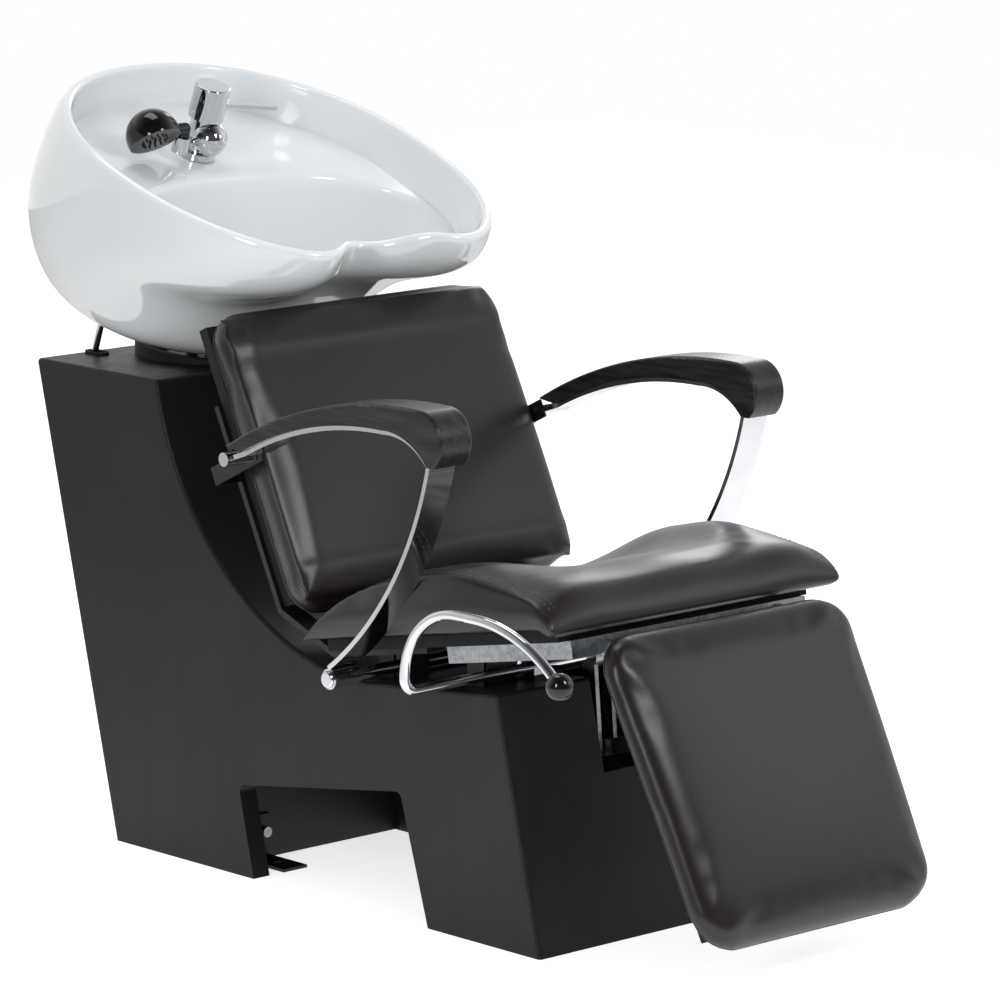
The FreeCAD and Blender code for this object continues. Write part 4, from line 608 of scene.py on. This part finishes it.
def makeTacks():
    # domed upholstery tacks that hold the rear cover to the board's edge
    look = tackLook
    bpy.ops.object.select_all(action="DESELECT")
    bpy.ops.mesh.primitive_uv_sphere_add(segments=16, ring_count=10, radius=look["radius"] * mm)
    tack = named("tack")
    editAll(tack)
    bpy.ops.mesh.bisect(plane_co=(0, 0, 0), plane_no=(0, 0, 1), clear_inner=True, use_fill=True)
    bpy.ops.object.mode_set(mode="OBJECT")
    for vertex in tack.data.vertices:
        vertex.co.z *= look["flat"]
    bpy.ops.object.shade_smooth_by_angle(angle=math.radians(look["sharp"]))
    surface = BVHTree.FromObject(backPad, bpy.context.evaluated_depsgraph_get())
    places = []
    for side in (-1, 1):
        for high in look["at"]:
            start = leaningMatrix("back") @ Vector((side * look["reach"] * mm, look["back"] * mm, high * mm))
            point, normal = surface.ray_cast(start, Vector((-side, 0, 0)))[:2]
            places.append(standing(point, Vector((0, 0, 1)), normal))
    tacks = spread(tack, "backTacks", places)
    dress(tacks, "zinc_steel", "base")
    print("backTacks", len(places))


makeTacks()


# Basin, ring by ring from its foot over the rim and down to the waste

basinLook = {
    "around": 96, "square": 0.92, "cornerFull": 1.6, "fullAt": 105, "fullSpread": 45, "weld": 0.05,
    "neckSpread": 78, "neckDrop": 41, "neckWidth": 58, "dropEnd": 118,
    # depth, front, rear, half width, neck hollow: outside from the foot up
    "outside": ((264, -27, 223, 158, 0), (258, -57, 262, 184, 0), (238, -91, 297, 206, 0),
                (190, -113, 321, 230, 0), (142, -129, 322, 247, 0), (112, -165, 322, 255, 26),
                (80, -230, 322, 262, 68), (44, -284, 319, 266, 114), (18, -298, 311, 266, 128),
                (5, -300, 304, 264, 129)),
    "rim": ((0, -296, 299, 260, 130), (0, -290, 292, 253, 130)),
    # inside from the rim down to the tap deck, and from there to the floor of the bowl
    "inside": ((5, -285, 288, 250, 129), (18, -282, 292, 249, 128), (40, -256, 293, 247, 112),
               (58, -230, 293, 245, 96), (65.5, -216, 290, 243, 88)),
    "bowl": ((66.5, -214, 96, 242, 87), (76, -200, 92, 240, 80), (112, -118, 90, 229, 30),
             (160, -82, 86, 212, 0), (208, -72, 70, 182, 0), (234, -52, 56, 138, 0), (239, -30, 48, 100, 0),
             (240, -12, 42, 62, 0), (240, 0, 40, 30, 0), (240, 16, 24, 6, 0)),
}


def ringPoint(level, turn):
    depth, front, rear, half, recess = level
    look = basinLook
    c = math.copysign(abs(math.cos(turn)) ** look["square"], math.cos(turn))
    s = math.copysign(abs(math.sin(turn)) ** look["square"], math.sin(turn))
    if c < 0:
        # the front corners are fuller below the rim
        bulge = math.exp(-((depth - look["fullAt"]) / look["fullSpread"]) ** 2)
        power = 2 / look["square"] + look["cornerFull"] * bulge
        c = -max(0.0, 1 - abs(s) ** power) ** (1 / power)
    x = half * s
    y = (front + rear) / 2 + (rear - front) / 2 * c
    dip = 0.0
    if c < 0:
        # the neck rest is hollowed back and dips in the middle of the front
        y += recess * math.exp(-(x / look["neckSpread"]) ** 2)
        dip = look["neckDrop"] * math.exp(-(x / look["neckWidth"]) ** 4) * (-c) ** 0.5
    if depth < look["dropEnd"]:
        depth = dip + depth * (look["dropEnd"] - dip) / look["dropEnd"]
    return Vector((x * mm, y * mm, -depth * mm))


def makeBasin():
    # A grid is wrapped into rings, closed along its seam and at both ends, and smoothed.
    look = basinLook
    levels = look["outside"] + look["rim"] + look["inside"] + look["bowl"]
    last = len(levels) - 1
    bpy.ops.object.select_all(action="DESELECT")
    bpy.ops.mesh.primitive_grid_add(x_subdivisions=look["around"], y_subdivisions=last, size=1)
    basin = named("basinShell")
    for vertex in basin.data.vertices:
        level = levels[round((vertex.co.y + 0.5) * last)]
        vertex.co = ringPoint(level, 2 * math.pi * (vertex.co.x + 0.5))
    editAll(basin)
    bpy.ops.mesh.remove_doubles(threshold=look["weld"] * mm)
    bpy.ops.mesh.select_all(action="SELECT")
    bpy.ops.mesh.fill_holes(sides=0)
    bpy.ops.mesh.select_all(action="SELECT")
    bpy.ops.mesh.normals_make_consistent(inside=False)
    bpy.ops.object.mode_set(mode="OBJECT")
    applyModifier(basin, "SUBSURF", levels=2, render_levels=2)
    bpy.ops.object.shade_smooth()
    leanInto(basin, "basin")
    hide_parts("basin")
    dress(basin, "white_ceramic", "basin")
    print("basinShell", len(basin.data.vertices), "points")


makeBasin()

sprayLook = {"centre": (-92, 506.6, 911.43), "facing": (0, -0.5314, -0.8471), "radius": 1.7, "high": 2.4,
             "taper": 0.75, "wall": 0.35, "sharp": 35,
             # distance of each ring from the centre, and how many nozzles stand in it
             "rings": ((0, 1), (8, 6), (17, 13))}


def makeNozzles():
    # soft rubber spray nozzles in rings on the plate of the hand shower
    look = sprayLook
    bpy.ops.object.select_all(action="DESELECT")
    high = look["high"] * mm
    bpy.ops.mesh.primitive_cylinder_add(vertices=12, radius=look["radius"] * mm, depth=2 * high)
    nozzle = named("nozzle")
    pick(nozzle, "FACE", lambda points: all(p.z > 0 for p in points))
    bpy.ops.transform.resize(value=(look["taper"], look["taper"], 1))
    bpy.ops.mesh.inset(thickness=look["radius"] * look["wall"] * mm)
    bpy.ops.transform.translate(value=(0, 0, -high / 2))
    bpy.ops.object.mode_set(mode="OBJECT")
    bpy.ops.object.shade_smooth_by_angle(angle=math.radians(look["sharp"]))
    centre = Vector(look["centre"]) * mm
    facing = Vector(look["facing"])
    across = Vector((1, 0, 0))
    places = []
    for radius, count in look["rings"]:
        for i in range(count):
            turn = Matrix.Rotation(2 * math.pi * i / count, 3, facing)
            places.append(standing(centre + turn @ across * radius * mm, across, facing))
    nozzles = spread(nozzle, "sprayNozzles", places)
    dress(nozzles, "black_rubber", "shower")
    print("sprayNozzles", len(places))


makeNozzles()


# Studio: distances in metres, angles in degrees

cameraLook = {"azimuth": -42.711, "elevation": 10.569, "distance": 7.05103, "target": (0, -0.05831, 0.50008),
              "lens": 201.6, "sensor": 36}
lampTarget = (0, 0, 0.5)
lampLook = (
    # from: azimuth, elevation and distance
    {"name": "keySoftbox", "from": (-66, 18, 3.0), "size": (0.5, 1.0), "watts": 20},
    {"name": "frontSoftbox", "from": (4, 35, 3.0), "size": (0.5, 1.0), "watts": 24},
    {"name": "fillSoftbox", "from": (42, 22, 3.2), "size": (1.0, 1.0), "watts": 4},
    {"name": "overheadSoftbox", "from": (180, 72, 2.8), "size": (1.0, 1.6), "watts": 14},
    {"name": "rimSoftbox", "from": (125, 25, 3.0), "size": (0.5, 1.6), "watts": 9},
)


def fromTarget(azimuth, elevation, distance, target):
    around = math.radians(azimuth)
    up = math.radians(elevation)
    back = Vector((math.sin(around) * math.cos(up), -math.cos(around) * math.cos(up), math.sin(up)))
    place = Vector(target) + back * distance
    return place, (-back).to_track_quat("-Z", "Y").to_euler()


def makeCamera():
    look = cameraLook
    place, turn = fromTarget(look["azimuth"], look["elevation"], look["distance"], look["target"])
    bpy.ops.object.camera_add(location=place, rotation=turn)
    camera = bpy.context.object
    camera.data.lens = look["lens"]
    camera.data.sensor_width = look["sensor"]
    bpy.context.scene.camera = camera


def makeLamps():
    for look in lampLook:
        place, turn = fromTarget(*look["from"], lampTarget)
        bpy.ops.object.light_add(type="AREA", location=place, rotation=turn)
        lamp = bpy.context.object
        lamp.name = look["name"]
        lamp.data.shape = "RECTANGLE"
        lamp.data.size, lamp.data.size_y = look["size"]
        lamp.data.energy = look["watts"]


def seenRays(tree):
    # 1 for what the camera, mirrors and glass see, 0 for light that falls on surfaces
    total = addNode(tree, "LightPath", out="Is Camera Ray")
    for kind in ("Is Glossy Ray", "Is Transmission Ray"):
        other = addNode(tree, "LightPath", out=kind)
        total = addNode(tree, "Math", {0: total, 1: other}, operation="MAXIMUM")
    return total


# What mirrors see fades from the white walls to the ceiling, by the height of the direction, and to the unlit
# end of the room, by how far the direction points to the camera.
worldLook = {"ambient": 0.5, "ceiling": 0.2, "ceilingFrom": 0.5, "ceilingFull": 0.9,
             "room": 0.08, "roomFrom": -0.35, "roomFull": 0.45}


def makeWorld():
    look = worldLook
    world = bpy.data.worlds.new("whiteStudio")
    world.use_nodes = True
    tree = world.node_tree
    direction = addNode(tree, "TexCoord", out="Generated")
    height = addNode(tree, "SeparateXYZ", {"Vector": direction}, "Z")
    ceiling = addNode(tree, "MapRange", {"Value": height, "From Min": look["ceilingFrom"], "To Min": 1.0,
                                         "From Max": look["ceilingFull"], "To Max": look["ceiling"]})
    around = math.radians(cameraLook["azimuth"])
    toCamera = (math.sin(around), -math.cos(around), 0)
    near = addNode(tree, "VectorMath", {0: direction, 1: toCamera}, "Value", operation="DOT_PRODUCT")
    room = addNode(tree, "MapRange", {"Value": near, "From Min": look["roomFrom"], "To Min": 1.0,
                                      "From Max": look["roomFull"], "To Max": look["room"]})
    mirrored = addNode(tree, "Math", {0: ceiling, 1: room}, operation="MULTIPLY")
    camera = addNode(tree, "LightPath", out="Is Camera Ray")  # sees plain white all over
    seen = addNode(tree, "Math", {0: mirrored, 1: camera}, operation="MAXIMUM")
    strength = addNode(tree, "Mix", {0: seenRays(tree), 2: look["ambient"], 3: seen})
    setInputs(tree, tree.nodes["Background"], {"Color": (1, 1, 1, 1), "Strength": strength})
    bpy.context.scene.world = world


# In mirrors the floor shows a painted pool of light: its glow fades between two distances from the middle.
floorLook = {"half": 6, "dark": "#f4f4f4", "light": "#f7f7f7", "cloud": 900, "glow": 0.72,
             "poolFrom": 0.8, "poolTo": 2.4, "farFloor": 0.1}


def makeFloor():
    # Matt white studio floor: even and pale, with the soft shadow of the object on it.
    look = floorLook
    bpy.ops.object.select_all(action="DESELECT")
    bpy.ops.mesh.primitive_plane_add(size=2 * look["half"])
    floor = named("studioFloor")
    material, tree, shader, place = startMaterial("whiteStudioFloor")
    cloud = addNode(tree, "TexNoise", {"Vector": place, "Scale": perMetre(look["cloud"]), "Detail": 3})
    layTones(tree, shader, look, cloud)
    away = addNode(tree, "VectorMath", {0: place}, "Value", operation="LENGTH")
    # painted pool of light: the floor's glow, seen only in mirrors, is strongest near the middle
    pool = addNode(tree, "MapRange", {"Value": away, "From Min": look["poolFrom"], "To Min": 1.0,
                                      "From Max": look["poolTo"], "To Max": look["farFloor"]})
    camera = addNode(tree, "LightPath", out="Is Camera Ray")  # sees the same white everywhere
    lit = addNode(tree, "Math", {0: pool, 1: camera}, operation="MAXIMUM")
    seen = addNode(tree, "Math", {0: lit, 1: seenRays(tree)}, operation="MULTIPLY")
    glow = addNode(tree, "Math", {0: seen, 1: look["glow"]}, operation="MULTIPLY")
    setInputs(tree, shader, {"Roughness": 1.0, "Specular IOR Level": 0.0,
                             "Emission Color": (1, 1, 1, 1), "Emission Strength": glow})
    floor.data.materials.append(material)


makeCamera()
makeLamps()
makeWorld()
makeFloor()
bpy.context.scene.view_settings.view_transform = "Standard"
print("studio lit")
